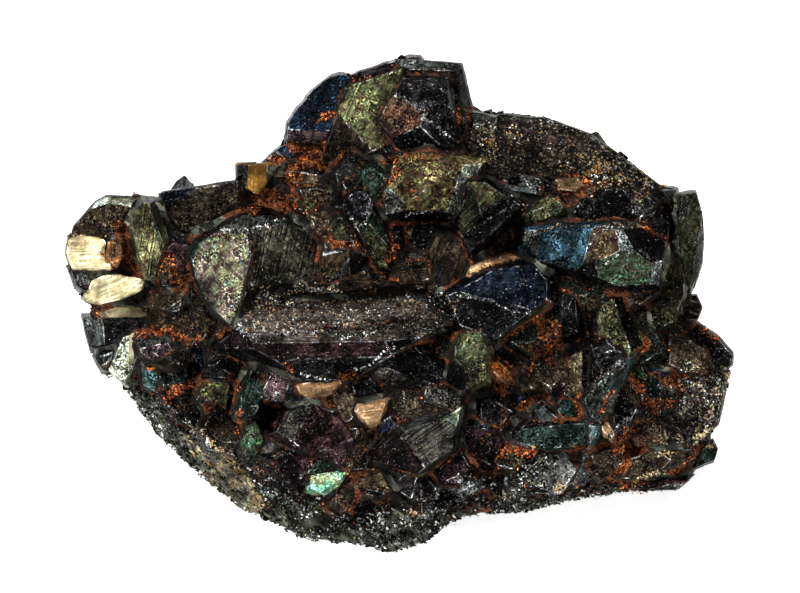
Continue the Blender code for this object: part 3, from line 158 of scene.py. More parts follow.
SECTIONS = {
    "top": [
    crystal("blue_lens", "navy", -4, -25, 25,
            [(-10.2, 44.4), (-11.6, 45.4), (-14, 44.6), (-17, 42.4), (-20, 39), (-22.2, 35.8),
             (-22.4, 34.2), (-14, 34), (-12.4, 38)], depth=THIN,
            turns={7: 55},
            folds=[(7, (-21.6, 32), (-15, 31.4), 30, "brown")], tints={7: "mauve"}),
    crystal("olive_block", "olive", 3, -12, 14,
            [(0.4, 46.2), (-11.4, 42.4), (-12.8, 37.6), (-5.6, 29.6), (-2, 31)], depth=THIN,
            turns={3: 38},
            folds=[(3, (-14, 33), (-16.4, 26), STEEP, "darkbrown"),
                   (3, (-16, 25), (-3, 24), STEEP, "black")],
            tints={1: "black", 3: "darkbrown"}),
    crystal("cap_ridge", "black", -5, 0, 30,
            [(5, 47.4), (4, 48.7), (1.6, 48.8), (-10, 44.9), (-11.4, 42.4), (4, 44)], depth=THIN),
    crystal("red_pyramid", "garnet", 9, -22, -5,
            [(-1, 41), (-4.4, 35.8), (-1.6, 32), (4, 34.6), (5.2, 37.4)],
            turns={3: 40, 4: 45, 5: 42},
            folds=[(5, (9.6, 40), (6.4, 44), 40, "black"), (5, (6.4, 44), (0, 44), STEEP, "black"),
                   (4, (12, 30), (9.6, 40), STEEP, "black"), (3, (-0.6, 29), (7, 29), STEEP, "black")],
            tints={3: "black", 4: "black", 5: "black"}),
    crystal("top_plate", "darkbrown", -2, 5, -10,
            [(11, 46), (0, 46.4), (0, 43), (10, 38.8), (12, 39), (11.8, 43)], depth=THIN,
            turns={1: 55, 5: 55, 6: 55},
            folds=[(1, (12, 47.4), (0, 48.2), STEEP, "black"),
                   (5, (14.4, 38.8), (12.4, 46), STEEP, "brown")],
            tints={1: "steel", 5: "charcoal", 6: "charcoal"}),
    crystal("blue_wedge", "navy", -7, -20, 20,
            [(-21.6, 32), (-24, 30.8), (-26.6, 28.4), (-23, 28), (-20, 30)], depth=THIN),
    crystal("amber_block", "amber", -3, -5, 0,
            [(-26.4, 27.2), (-30.6, 27), (-30.6, 22.4), (-28.4, 21), (-26.8, 24)], depth=THIN,
            turns={2: 35},
            folds=[(2, (-32.6, 27), (-32.6, 22), STEEP, "darkbrown")], tints={2: "steel"}),
    crystal("brown_stub", "brown", -3, 5, 10,
            [(-20.4, 27.6), (-24, 27.2), (-25.6, 25.4), (-24.4, 23.6), (-20.8, 23.4), (-19.2, 25.6)]),
    crystal("green_chip", "darkgreen", 1, 10, 5,
            [(12.8, 38), (10, 37), (10.6, 34.4), (13, 34)]),
    crystal("dark_chip", "darkgreen", 2, 0, 10,
            [(21, 26.4), (18.4, 28), (16, 27), (16.4, 24.4), (19, 23.6)]),
    crystal("granular_face", "grains", -1, 12, 34,
            [(52, 22.6), (44, 28.8), (38, 33), (30, 36), (15, 37.2), (12, 32), (14, 26), (26, 22),
             (46, 19)],
            depth=THIN),
    ],
    "left_shoulder": [
    crystal("long_dark", "darkbrown", 0, -5, -15,
            [(-32.4, 23.6), (-40, 22.4), (-47, 19.2), (-45.6, 15.6), (-43, 13.6), (-35.6, 17), (-32, 19.4)],
            turns={2: 50}, depth=THIN,
            folds=[(2, (-40, 23), (-48.6, 21.4), STEEP, "black"),
                   (2, (-48.6, 21.6), (-49.4, 19.6), STEEP, "black")],
            tints={1: "steel", 2: "navy"}),
    crystal("striated_green", "reed", 3, -18, 3,
            [(-50, 19.2), (-51, 19.4), (-53.4, 17), (-53.2, 13), (-51.8, 8.4), (-50.4, 4.6), (-49, 4.6),
             (-47.8, 8.8), (-49.6, 18)],
            turns={8: 35},
            folds=[(8, (-46, 9), (-44.4, 14.4), STEEP, "moss"),
                   (8, (-44.4, 14.4), (-49.4, 18.6), STEEP, "moss"),
                   (8, (-49, 4.4), (-46, 9), STEEP, "moss")],
            tints={8: "moss"}),
    crystal("left_lump", "darkbrown", -3, -15, 10,
            [(-54, 18.8), (-59.2, 19.4), (-62, 18.4), (-65.6, 14.4), (-66, 12), (-60, 11.8), (-56.4, 14.4)],
            turns={1: 58, 2: 58}, depth=THIN,
            folds=[(1, (-53, 20.4), (-58, 20.6), STEEP, "brown"),
                   (2, (-60, 20.6), (-64, 17.6), STEEP, "brown")],
            tints={1: "palegreen", 2: "palegreen"}),
    crystal("cream_lump", "cream", -2, -10, -5,
            [(-59.2, 12), (-64, 13), (-66.4, 12), (-66.6, 9), (-65.6, 6.4), (-58, 6.4), (-58, 9)]),
    crystal("sparkly_chip", "orange", 0, -5, 0,
            [(-55.6, 12.6), (-58.4, 11.6), (-59, 8.6), (-57, 7), (-55.6, 9)]),
    crystal("left_tip", "steel", -5, -10, 0,
            [(-62.8, 6), (-66, 5.8), (-65, 3), (-63.6, 2), (-62.4, 2.6)]),
    crystal("cream_slab", "cream", -4, -8, -8,
            [(-51.4, 3.8), (-56, 4.8), (-59.2, 5), (-62, 3.8), (-63.2, 0.8), (-60, -0.8), (-56.4, 0.2),
             (-52, 2)]),
    crystal("cream_ledge", "cream", -6, 0, 30,
            [(-49, -2), (-56, -0.8), (-60.6, -2.8), (-60, -3.4), (-49, -3.2)]),
    crystal("left_block", "black", -7, 12, -10,
            [(-49, -3.4), (-60, -3.6), (-59.6, -9), (-54, -8), (-49, -6.6)],
            turns={2: 45},
            folds=[(2, (-63.4, -4.6), (-62.2, -9.6), STEEP, "charcoal")], tints={2: "steel"}),
    crystal("pale_wedge", "palegreen", -5, -15, 10,
            [(-54.6, -7.2), (-55.6, -7.6), (-58.4, -14), (-55.4, -16.4), (-54.6, -14.8)],
            turns={5: 30},
            folds=[(5, (-53.2, -13.6), (-53.4, -8.4), 30, "teal"),
                   (6, (-51.8, -14), (-52.4, -10), STEEP, "black")],
            tints={5: "cream"}),
    crystal("grey_striated", "steel", -9, -20, 0,
            [(-57.6, -10), (-60, -10), (-61.4, -11.2), (-60, -14), (-58.6, -14)]),
    crystal("teal_dark", "teal", -6, -5, -8,
            [(-50, -11.4), (-51.8, -12.4), (-51.6, -17), (-49.6, -18.2), (-48, -16), (-48.4, -12.4)]),
    crystal("ringed", "mauve", -3, 5, 15,
            [(-47, -8), (-50, -7.4), (-52.8, -8.6), (-52, -10.4), (-49.6, -12.2), (-46.8, -12.2),
             (-45.6, -10.4)]),
    crystal("grey_ridge", "brown", 0, 0, 35,
            [(-39, -8.2), (-42, -9), (-48.4, -12.6), (-46, -13.2), (-41, -10.6)]),
    crystal("dark_hexagon", "darkgreen", -2, -3, 5,
            [(-43.6, -13.4), (-45.6, -13.8), (-47.8, -15.6), (-47.4, -17.6), (-46, -18.4), (-43.4, -17.6),
             (-42.8, -15)]),
    crystal("small_blue", "brown", 2, -12, 15,
            [(-43, 2), (-47, 1.8), (-48.8, -1.2), (-46.4, -2), (-43.4, 0.6)],
            turns={4: 25},
            folds=[(4, (-41.4, -1.8), (-41.6, 1), STEEP, "black"),
                   (4, (-46.4, -2.4), (-41.4, -2.2), STEEP, "black")],
            tints={4: "steel"}),
    crystal("left_hollow", "darkbrown", 0, 0, 0,
            [(-41, -2.4), (-48.4, -2.4), (-48, -5), (-44, -7.6), (-40, -8)]),
    crystal("lower_left_block", "black", -2, 0, 5,
            [(-41, -20.2), (-45.6, -22), (-44.8, -24), (-41, -25.2), (-38.8, -24.8)]),
    ],
    "iridescent": [
    crystal("rainbow_plate", "rainbow", 8, -12, 8,
            [(-30.6, 13.8), (-35.6, 14), (-40, 11.4), (-41.2, 8), (-40.8, 5), (-39, 0.6), (-34.6, -4),
             (-33.6, -4.8), (-32, -0.6), (-30.8, 4), (-29.6, 9)],
            turns={1: 45},
            folds=[(1, (-23, 18), (-33.6, 16.6), STEEP, "black")],
            tints={1: "steel", 2: "charcoal", 3: "teal", 4: "teal", 5: "teal"}),
    crystal("striated_wall", "wall", 5, 18, 5,
            [(-16.4, 13), (-23, 15.4), (-29.4, 14.6), (-30.2, 9), (-30.6, 3), (-27, 2), (-17, 5.4)],
            turns={2: 45}, folds=[(2, (-22, 17.4), (-30, 16.4), STEEP, "black")], tints={2: "steel"}),
    crystal("under_rainbow", "darkbrown", 3, 8, -15,
            [(-38, 1.4), (-41.4, 3.6), (-41.6, 0), (-40, -8), (-37.6, -9.6), (-34.4, -5.6)]),
    crystal("hex_window", "black", 12, -2, 12,
            [(-7, 21.6), (-9.6, 21.2), (-10.8, 19.2), (-10.4, 17.2), (-9.4, 15.8), (-7.2, 16.4), (-6, 19)],
            turns={3: 42, 5: 40, 6: 38},
            folds=[(5, (-10, 7), (-5, 6.4), STEEP, "black"), (6, (-2.6, 9), (-2, 20), STEEP, "black"),
                   (3, (-13.6, 20), (-13, 9), STEEP, "black")],
            tints={3: "steel", 5: "darkolive", 6: "darkgreen"}),
    crystal("terrace", "darkbrown", 3, 0, 50,
            [(4, 3.4), (1, 5.8), (-14, 7.6), (-29, 5), (-28, 2.4), (-14, 1.6)]),
    crystal("olive_chip", "darkolive", 1, 0, 10,
            [(-16, 20), (-22, 20), (-20.6, 17.4), (-18, 17)]),
    crystal("upper_hollow", "darkbrown", 0, 5, 0,
            [(-13, 23), (-20, 22), (-18, 17.6), (-14, 18.4)]),
    crystal("rusty_block", "brown", -2, 0, 10,
            [(-16.4, 26.4), (-22, 26.4), (-22.6, 23), (-20, 21), (-16, 22.4)]),
    crystal("grey_stub", "brown", -2.6, -10, 5,
            [(-22, 24), (-24.6, 23), (-25, 20.4), (-22, 20.4)], depth=7),
    crystal("brown_chip", "brown", 5, 5, 0,
            [(-14, 16), (-17.6, 16.4), (-16.4, 13), (-14.4, 12.4)]),
    crystal("dark_foot", "darkbrown", 5, 0, -8,
            [(-10, 11), (-14.4, 12.4), (-16, 7.6), (-15, 3.4), (-10, 3)]),
    crystal("dark_wedge", "black", 4, 0, 0,
            [(-1.6, 7.6), (-6, 6.4), (-8, 4), (-5, 2), (-1, 3)]),
    ],
    "upper_middle": [
    crystal("olive_red", "autumn", 9, -8, 14,
            [(12, 27), (6, 29), (0.4, 28.6), (-1.2, 26.8), (-2.6, 22.6), (1, 18.8)],
            turns={5: 30, 6: 18},
            folds=[(6, (2, 17.6), (9, 17.4), STEEP, "black"), (6, (9.4, 17.4), (12.4, 26), 45, "palegreen"),
                   (5, (-1.6, 16.6), (1.4, 16.4), STEEP, "black"),
                   (5, (-4.4, 22), (-3, 17.6), STEEP, "black"),
                   (8, (12, 17), (15, 24), STEEP, "darkolive")],
            tints={5: "steel"}),
    crystal("step_stack", "black", 3, 5, -18,
            [(11, 17.4), (1, 16.8), (-1.6, 15.6), (-0.4, 10), (6, 8.4), (13, 11), (13.6, 15)]),
    crystal("lower_steps", "darkbrown", 5, 0, 10,
            [(8, 8.4), (-1, 10.6), (-1.4, 6), (0, 3.4), (6.4, 2.4), (7.6, 6)]),
    crystal("striated_block", "black", 11, 10, -8,
            [(21, 20.6), (16, 17), (12.4, 12.4), (14, 9.6), (19.6, 14.4), (24, 18.8)],
            turns={1: 30, 2: 35},
            folds=[(1, (22.6, 23), (15.6, 23.4), STEEP, "black"), (2, (13, 22), (11, 12), STEEP, "black")],
            tints={1: "olive", 2: "darkolive"}),
    crystal("side_striated", "darkolive", 6, 15, 0,
            [(15, 22), (12.4, 24), (11.2, 19), (11.6, 12), (13.6, 14)]),
    crystal("brown_striped", "brown", 8, 8, 5,
            [(12.4, 11), (8.4, 11.6), (7, 7.6), (7, 2.4), (11, 3.2), (14.4, 7)]),
    crystal("back_dark", "darkbrown", 3, 0, 0,
            [(24, 17), (16, 11.4), (14.6, 7.6), (23, 8.4)]),
    crystal("tan_ledge", "tan", 9, 0, 40,
            [(25, 7.6), (20, 8.2), (14, 6), (13.6, 4.6), (18, 4.8)], depth=5),
    crystal("grey_facet", "steel", 4, 0, 25,
            [(29, 23.6), (23, 25.6), (19, 24.8), (18, 23.4), (21.6, 22), (29.6, 20.8)]),
    crystal("small_black", "black", 4, 5, -5,
            [(32, 22), (28.6, 24), (30, 20.6), (32.4, 17.4), (34.6, 18.6)]),
    crystal("tan_chip", "tan", 4, 0, 25,
            [(36.6, 22.8), (35.6, 24), (31.2, 23.8), (32, 22), (35, 21.6)], depth=6),
    crystal("moss_crystal", "moss", 5, -8, 5,
            [(32, 19.4), (29, 21.4), (26, 20), (24.4, 17), (25.4, 14.4), (32, 15.2), (33.6, 16)]),
    crystal("black_big", "black", 6, -5, 5,
            [(46, 22), (41, 22), (36, 19.8), (34.4, 17), (38, 15.2), (44.4, 14.4), (50, 15), (51, 19)],
            folds=[(0, (49, 15), (44.6, 22), 25, "charcoal")]),
    crystal("black_small", "black", 0, 20, 5,
            [(55, 21.6), (51.6, 22), (50.4, 18.6), (52, 15), (55, 16)]),
    ],
    "right": [
    crystal("blue_plate", "blue", 13, -16, 8,
            [(38, 14.4), (28, 13.8), (27, 9), (27.6, 7.4), (29.8, 3.6), (36, 7)],
            turns={2: 24, 3: 30, 5: 38, 6: 14},
            folds=[(2, (24.6, 13), (23.8, 8.4), STEEP, "black"),
                   (2, (23.8, 8), (27.6, 7.8), STEEP, "black"),
                   (6, (37, 6.8), (43.4, 9.7), 30, "green"),
                   (6, (43.4, 9.7), (42.4, 13.8), 18, "silver"),
                   (10, (46.4, 10), (44, 13.8), 28, "black"),
                   (9, (49.6, 3.4), (49.6, 8), 35, "steel"),
                   (12, (51.6, 4), (52, 8.6), STEEP, "brown"),
                   (9, (38.4, 2.4), (49.6, 3.2), STEEP, "black"),
                   (6, (43, 13.8), (38, 14.4), STEEP, "charcoal"),
                   (5, (30, 3), (38.4, 2.4), STEEP, "black")],
            tints={2: "steel", 5: "black", 6: "brown"}),
    crystal("dark_oval", "blueblack", 15, 5, 10,
            [(26, 7.2), (18, 5.8), (11, 1.6), (26, -2), (29, 0), (29, 4)],
            turns={3: 38},
            folds=[(3, (9.6, 0), (12, -5), STEEP, "black"), (3, (12, -5), (22, -9), STEEP, "black"),
                   (3, (22, -9), (28, -4), STEEP, "darkgreen")],
            tints={3: "black", 4: "darkolive"}),
    crystal("right_plate", "moss", 2, 30, 0,
            [(59, 21.4), (56.4, 20.8), (55.6, 17), (55.6, 10), (56.8, 5), (58, 1.8), (60, 7), (60.4, 13),
             (60, 18)], depth=THIN),
    crystal("curved_dark", "darkolive", 4, -20, 0,
            [(54.4, 12), (51.2, 7.6), (49, 0), (51, -6), (54.4, -4.4), (56.4, 1), (56, 7)],
            folds=[(0, (54.2, -2.4), (54.2, 11.6), 30, "brown")]),
    crystal("knob", "brown", -6, 10, 0,
            [(59.6, 0.8), (57.4, 0.8), (56.8, -2), (58, -4), (59.8, -3.6), (60.6, -1.4)], depth=7),
    crystal("olive_column", "olive", 7, -8, -3,
            [(43.6, 0.6), (40.2, 0.2), (39.6, -4), (40, -8.4), (44.8, -11.4), (47.6, -8.8)]),
    crystal("dark_tall", "black", 4, 0, 0,
            [(39, -1), (35, -2), (34.4, -7), (36, -9), (39.4, -8)]),
    crystal("dark_arch", "black", 9, -3, 0,
            [(44, -10.4), (41, -8.6), (38.4, -10), (38, -15.6), (40, -16), (44.4, -12.8)]),
    crystal("petrol_blade", "petrol", 10, 12, -12,
            [(44.4, -13), (40, -15.8), (36.8, -19.6), (38, -23.2), (39.6, -24), (41.6, -20)]),
    crystal("pale_tip", "teal", 7, 0, 0,
            [(39.6, -24), (37.6, -24.8), (37.8, -28.4), (39.2, -26.4)], depth=7),
    crystal("bronze_prism", "bronze", 6, -25, 0,
            [(38, -10), (35, -10.4), (32.6, -12.8), (32.6, -19.2), (36, -19.8), (38, -16.4)],
            folds=[(0, (36, -19.8), (36, -10.2), 40, "black")]),
    crystal("dark_teal", "teal", 6, 0, -12,
            [(36.6, -20), (33, -20), (31.4, -22), (32.6, -24.2), (35.6, -24.6), (37.6, -23.2)]),
    crystal("green_topped", "darkgreen", 7, 0, -5,
            [(33, -24.2), (26, -24), (22.4, -26.8), (22.4, -29.8), (32, -29.2), (36.8, -28), (36.8, -24.6)],
            tints={1: "green", 2: "plum"}),
    crystal("small_grey", "steel", 6, 0, 20,
            [(31, -22.4), (29, -20.8), (26.2, -22.4), (26.4, -24.2), (32, -24.6)]),
    crystal("tan_blade", "tan", 6, 15, 0,
            [(40.8, -23.6), (40, -24), (40.2, -26), (42.2, -27.6), (42.8, -26.8)], depth=6),
    crystal("tall_black", "black", 6, 10, 0,
            [(48, -19.6), (44.4, -15.6), (43.2, -17), (42.4, -23), (43.6, -28), (45.6, -25)]),
    crystal("brown_plate", "brown", 0, 5, 30,
            [(61, -10), (58, -8.2), (53.6, -7.6), (50, -10), (50.4, -11.6), (58, -14.2), (62.4, -13.2)]),
    crystal("navy_facet", "navy", 2, 0, -5,
            [(53.6, -14.4), (48.6, -13.2), (50.4, -16.4), (53.6, -17.2)]),
    crystal("bright_green", "green", 4, 0, 0,
            [(48, -13.2), (46, -12.8), (46.8, -15), (48, -16.8), (49.2, -15.6)]),
    crystal("right_black", "black", -6, 20, 15,
            [(64.4, -8.4), (60, -5.2), (58, -7), (61.6, -11), (64.4, -14), (66.6, -13.2), (66.8, -11)],
            depth=THIN),
    crystal("right_rough", "grains", -3, 18, 0,
            [(65.6, -15), (61, -13.6), (56, -15.6), (53.6, -20), (53, -27), (58, -29.6), (63.6, -25)]),
    crystal("rusty_wall", "garnet", 2, -15, 5,
            [(47, -21), (45.6, -25.6), (48, -29), (52.4, -28), (51.6, -22.4)]),
    crystal("rusty_ledge", "darkbrown", 1, 0, -15,
            [(58, -30), (50, -30.4), (44, -32.4), (41, -35.6), (48, -35.6), (54.4, -34), (58.4, -31.6)]),
    crystal("rusty_foot", "darkbrown", 2, 0, 0,
            [(44, -29), (38, -31), (36, -33), (40, -36), (45, -33)]),
    crystal("plum_rim", "plum", -7, 0, -20,
            [(58, -36), (48, -36.4), (46, -38), (56, -38)]),
    crystal("green_corner", "darkgreen", -9, 0, 0,
            [(63.2, -29), (60, -30), (59.4, -33.6), (63.2, -32.4), (63.8, -30.4)], depth=THIN),
    ],
    "tabular": [
    crystal("tabular", "schist", 5, 0, 56,
            [(8, 0), (0, 2.4), (-14, 4.2), (-23, 4.3), (-27.6, 3.4), (-31.2, -0.6), (-32.2, -5.6),
             (-28.8, -8.4), (-3, -8), (10, -6.8), (11.2, -4)], turns={7: 72, 8: 75, 9: 72},
            folds=[(8, (-28, -12), (-3, -11.4), 25, "black"),
                   (12, (-19, -16), (-9, -15.8), STEEP, "black"),
                   (12, (-9, -15.8), (-2, -11), STEEP, "charcoal"),
                   (12, (-28, -9.6), (-19, -15.6), STEEP, "black")],
            tints={6: "black", 7: "plum", 8: "plum", 9: "black", 10: "black"}),
    crystal("right_of_tabular", "black", 9, 6, -8,
            [(8, -9), (0.6, -9), (-3, -11.6), (-5, -15), (2, -18.4), (8, -17), (9.2, -12)]),
    crystal("olive_lozenge", "olive", 12, -6, -4,
            [(15.6, -6), (13.2, -6.2), (11, -10.4), (9.6, -16), (12.4, -17.6), (16.6, -15.2), (16.8, -9)]),
    crystal("orange_lump", "orange", 6, 0, 0,
            [(20, -12.6), (18, -12.4), (18.4, -14), (20.8, -16.4), (22.2, -15.8), (21.6, -14)], depth=7),
    crystal("brown_prism", "brown", 4, -5, 0,
            [(26, -11.6), (23.6, -11.6), (23.2, -16), (24.4, -18.2), (27.4, -17.6), (27.8, -13.2)]),
    crystal("striped_dark", "darkgreen", 8, -10, 5,
            [(-27.6, -13.8), (-29.2, -14.2), (-31.4, -19), (-31.6, -22.8), (-29.2, -23), (-27.2, -19.4)]),
    crystal("black_left", "black", 3, 0, 0,
            [(-32.4, -9), (-37.6, -10), (-39, -15), (-33, -15.6), (-31, -12)]),
    crystal("moss_left", "moss", 1, -8, 5,
            [(-33, -16), (-39, -16.4), (-40.4, -20), (-37, -23.6), (-32.4, -22.4)]),
    crystal("tan_sliver", "tan", 8, 0, 10,
            [(-32.6, -7), (-33.6, -7.4), (-29.8, -11.2), (-29.2, -11)], depth=6),
    crystal("green_pair", "green", 5, -12, 0,
            [(-28.8, -24), (-30.6, -25), (-31.6, -28.6), (-30, -31.4), (-28.8, -31), (-27.4, -27.6)]),
    crystal("purple_brown", "mauve", 9, 0, 12,
            [(-22, -15.6), (-27, -14), (-27.6, -17), (-26.4, -19.6), (-22, -20), (-19.2, -19.4)]),
    crystal("tan_plate", "tan", 9, 0, 15,
            [(-12, -14.8), (-20.4, -17), (-19.6, -18.6), (-18, -19.6), (-14, -18.8), (-11.6, -16.8)]),
    crystal("black_facet", "black", 8, 5, -5,
            [(-4.4, -15), (-9.6, -14.8), (-11, -18.4), (-8, -19.2), (-3.8, -18.2)]),
    crystal("brown_black", "darkbrown", 7, 0, 20,
            [(6, -18), (-1, -18), (-3, -20), (0, -25), (6, -22.4), (10, -20)]),
    crystal("tan_fork", "tan", 9, 5, 0,
            [(-3, -20.4), (-8, -20.8), (-8.6, -22), (-5.6, -25.8), (-4.4, -24.8)], depth=7),
    crystal("plum_arch", "plum", 10, 3, 5,
            [(-13, -22), (-17.6, -20.6), (-22, -22.4), (-24, -26), (-20, -29), (-11, -32.8), (-7.6, -30.4),
             (-10, -26)],
            tints={1: "darkgreen", 2: "darkgreen"}),
    crystal("lined_wedge", "charcoal", 13, 5, -5,
            [(11, -25), (8, -23.6), (1, -26), (0, -26.8), (4.8, -33.2), (10.4, -29.6)],
            turns={1: 40, 4: 35},
            folds=[(1, (13.4, -22.4), (12.4, -20.6), STEEP, "black"),
                   (1, (12.4, -20.6), (6.6, -22.2), STEEP, "black"),
                   (4, (-5, -32), (3, -34), STEEP, "black"), (4, (-8, -28), (-6, -31), STEEP, "black")],
            tints={1: "opal", 4: "plum"}),
    crystal("block_one", "plum", 7, 0, 0,
            [(20, -26), (13.6, -23.6), (12.4, -26), (14, -31), (19, -33), (21, -30)]),
    crystal("block_two", "black", 6, 0, 10,
            [(20, -19), (14, -20), (13.6, -23), (20, -25), (22.4, -22)]),
    crystal("block_three", "black", 4, 0, 0,
            [(21, -8), (17.6, -9), (17.2, -16), (20, -18.4), (23, -17), (23, -11)]),
    ],
    "foot": [
    crystal("dark_low", "darkgreen", 7, 0, -5,
            [(-15, -28), (-18, -28), (-20, -31), (-18.4, -34.4), (-14.4, -34), (-13.2, -31)]),
    crystal("green_flash", "opal", 6, -5, -10,
            [(-10.6, -33.8), (-17.6, -35), (-17.8, -37.6), (-14.8, -38.2), (-12.4, -36.8)]),
    crystal("brown_low", "brown", 6, -10, 0,
            [(-4, -34), (-7.6, -34.4), (-8.4, -37), (-7, -38.4), (-4, -39.2), (-2, -37.6)]),
    crystal("red_low", "garnet", 4, 0, 0,
            [(-9.6, -36), (-12.4, -37.6), (-14, -41), (-11, -43), (-9.2, -41)]),
    crystal("black_low", "black", 6, 0, 0,
            [(7, -34.4), (1.6, -34.4), (0.4, -38), (3, -40.4), (7.6, -39.6)]),
    crystal("grey_low", "silver", 4, 0, 0,
            [(14, -35.6), (9.6, -35.2), (8, -38.4), (10, -40.6), (15.6, -37.6)]),
    crystal("silver_face", "silver", 3, -3, -8,
            [(32, -29.4), (23, -36), (24, -38.4), (32, -38.4), (35, -34)]),
    crystal("black_over", "black", 5, 0, 0,
            [(29, -29.6), (23, -30.4), (21.6, -33.6), (24, -35.6), (29.6, -32.4)]),
    ],
}
CRYSTALS = [shape for shapes in SECTIONS.values() for shape in shapes]

# Crystals over the crest and behind it, where the face hides them: how far back each row lies (0 at the
# outline, 1 at the back end), how many crystals it has, and their radius in millimetres.
DRUSE_SEED = 11
DRUSE_ROWS = [(0.17, 16, 3.1), (0.27, 14, 5.4), (0.38, 13, 6.6), (0.49, 12, 7.5), (0.62, 8, 8.0)]
DRUSE_START, DRUSE_END = 0.55, 0.99   # places round the outline
DRUSE_STRAY = 0.04                    # how far a crystal strays from its row
DRUSE_STEPS = (0.2, 0.8)              # where in its step along the row it stands
DRUSE_SIZES = (0.75, 1.2)             # its radius, as a share of the row's
DRUSE_LEAN = 45.0                     # how far it leans at most, in degrees
DRUSE_TINTS = ["black", "black", "blueblack", "darkolive", "plum", "black", "darkgreen", "moss", "navy",
               "darkbrown", "charcoal", "olive", "steel"]
LENS_THICKNESS = 0.75                 # of a lens crystal, as a share of its radius
LENS_PROUD, LENS_DEEP = 0.6, 1.2      # how far its ends lie above and below its seat, in thicknesses
LENS_FACETS = ((3, 42.0, 0.74, 0.0),  # facets: count, turn from the axis, reach in radii, start
               (6, 76.0, 0.93, 30.0))

Lens = namedtuple("Lens", "around back radius lean tip spin tint")

# Smaller crystals that fill the gaps between those of the table
FILL_SEED = 7
FILL_RADII = (4.2, 3.4, 2.7)     # radii tried, largest first
FILL_TRIES = 500                 # places tried for each radius
FILL_FIELD = (-62.0, 62.0, -46.0, 44.0)   # where they are tried: a from, a to, b from, b to
FILL_NEAR = 32.0                 # neighbours are looked for within this
FILL_OVERLAP = 0.45              # how far one may reach in under its neighbours, as a share of its radius
FILL_APART = 1.6                 # how far from its nearest neighbour it may stand, in radii
FILL_SINK = (0.5, 3.5)           # how far it stays behind the neighbours' mean height
FILL_SIDES = (5, 6, 6, 7)
FILL_WOBBLE = 0.22               # how uneven the turns between its corners are, as a share of one turn
FILL_SPREAD = 1.15               # its corners' distance from its middle, in radii
FILL_RIGHT = (-24.0, 24.0)       # turn to the right and turn upward, in degrees
FILL_UP = (-14.0, 30.0)
FILL_DEPTH = 9.0
FILL_MARGIN = 0.10               # how far they stay inside the outline, as a share of the width
FILL_TINTS = ["black", "darkbrown", "black", "charcoal", "darkgreen", "blueblack", "plum", "darkolive",
              "brown"]
BARE_ROCK = [(-44, -30, 9), (-34, -37, 9), (-24, -44, 8), (-12, -47, 7), (0, -48, 8), (12, -43, 5),
             (64, -20, 5), (-63, -10, 6)]   # places where the rock stays bare: a, b and radius


def flank_distance(a, b, planes):
    """How far a point lies outside a crystal's flanks, looking straight at the face; below 0 inside."""
    return max(((a - point.x) * normal.x + (b - point.y) * normal.y) / normal.xy.length
               for point, normal in planes[1:-1])


def inside_outline(a, b, margin):
    """Whether a point of the face lies inside the matrix's outline, drawn in by a share of its width."""
    crossings = 0
    for index, (a1, b1, _) in enumerate(OUTLINE):
        a2, b2, _ = OUTLINE[(index + 1) % len(OUTLINE)]
        a1, b1, a2, b2 = (value * (1.0 - margin) for value in (a1, b1, a2, b2))
        if (b1 > b) != (b2 > b) and a < a1 + (a2 - a1) * (b - b1) / (b2 - b1):
            crossings += 1
    return crossings % 2 == 1


def fillers():
    """Crystals for the gaps, each as a row like those of the table."""
    pick = random.Random(FILL_SEED)
    standing = [(shape.corners[0], shape.out, crystal_planes(shape)[0]) for shape in CRYSTALS]
    made = []
    for radius in FILL_RADII:
        for _ in range(FILL_TRIES):
            a, b = pick.uniform(*FILL_FIELD[:2]), pick.uniform(*FILL_FIELD[2:])
            near = [row for row in standing
                    if abs(row[0][0] - a) < FILL_NEAR and abs(row[0][1] - b) < FILL_NEAR]
            if not near or not inside_outline(a, b, FILL_MARGIN):
                continue
            if any(math.hypot(a - c, b - d) < reach for c, d, reach in BARE_ROCK):
                continue
            ranked = sorted((flank_distance(a, b, planes), out) for _, out, planes in near)
            if not radius * (1.0 - FILL_OVERLAP) < ranked[0][0] < radius * FILL_APART:
                continue
            out = sum(value for _, value in ranked[:3]) / 3.0 - pick.uniform(*FILL_SINK)
            sides = pick.choice(FILL_SIDES)
            start = pick.uniform(0.0, 360.0)
            corners = []
            for side in range(sides):
                wobble = pick.uniform(-FILL_WOBBLE, FILL_WOBBLE)
                angle = math.radians(start + 360.0 * (side + wobble) / sides)
                reach = radius * FILL_SPREAD
                corners.append((a + reach * math.cos(angle), b + reach * math.sin(angle)))
            shape = crystal("fill_%d" % (len(made) + 1), pick.choice(FILL_TINTS), out,
                            pick.uniform(*FILL_RIGHT), pick.uniform(*FILL_UP), corners,
                            depth=FILL_DEPTH)
            made.append(shape)
            standing.append(((a, b), out, crystal_planes(shape)[0]))
    return made


def druse():
    """Lens crystals crowded in rows over the crest and the upper back."""
    pick = random.Random(DRUSE_SEED)
    lenses = []
    for back, count, radius in DRUSE_ROWS:
        for step in range(count):
            around = DRUSE_START + (DRUSE_END - DRUSE_START) * (step + pick.uniform(*DRUSE_STEPS)) / count
            lenses.append(Lens(around, back + pick.uniform(-DRUSE_STRAY, DRUSE_STRAY),
                               radius * pick.uniform(*DRUSE_SIZES),
                               pick.uniform(-DRUSE_LEAN, DRUSE_LEAN), pick.uniform(-DRUSE_LEAN, DRUSE_LEAN),
                               pick.uniform(0.0, 120.0), pick.choice(DRUSE_TINTS)))
    return lenses


def face_to_part():
    """The placing of the crystal face (a right, b up, c out) in the standing part, in millimetres."""
    level, rise = math.cos(FACE_RISE), math.sin(FACE_RISE)
    shift_x, shift_y = CENTRE_SHIFT
    return Matrix((
        (1.0, 0.0, 0.0, shift_x),
        (0.0, rise, -level, shift_y),
        (0.0, level, rise, FACE_HEIGHT),
        (0.0, 0.0, 0.0, 1.0),
    ))


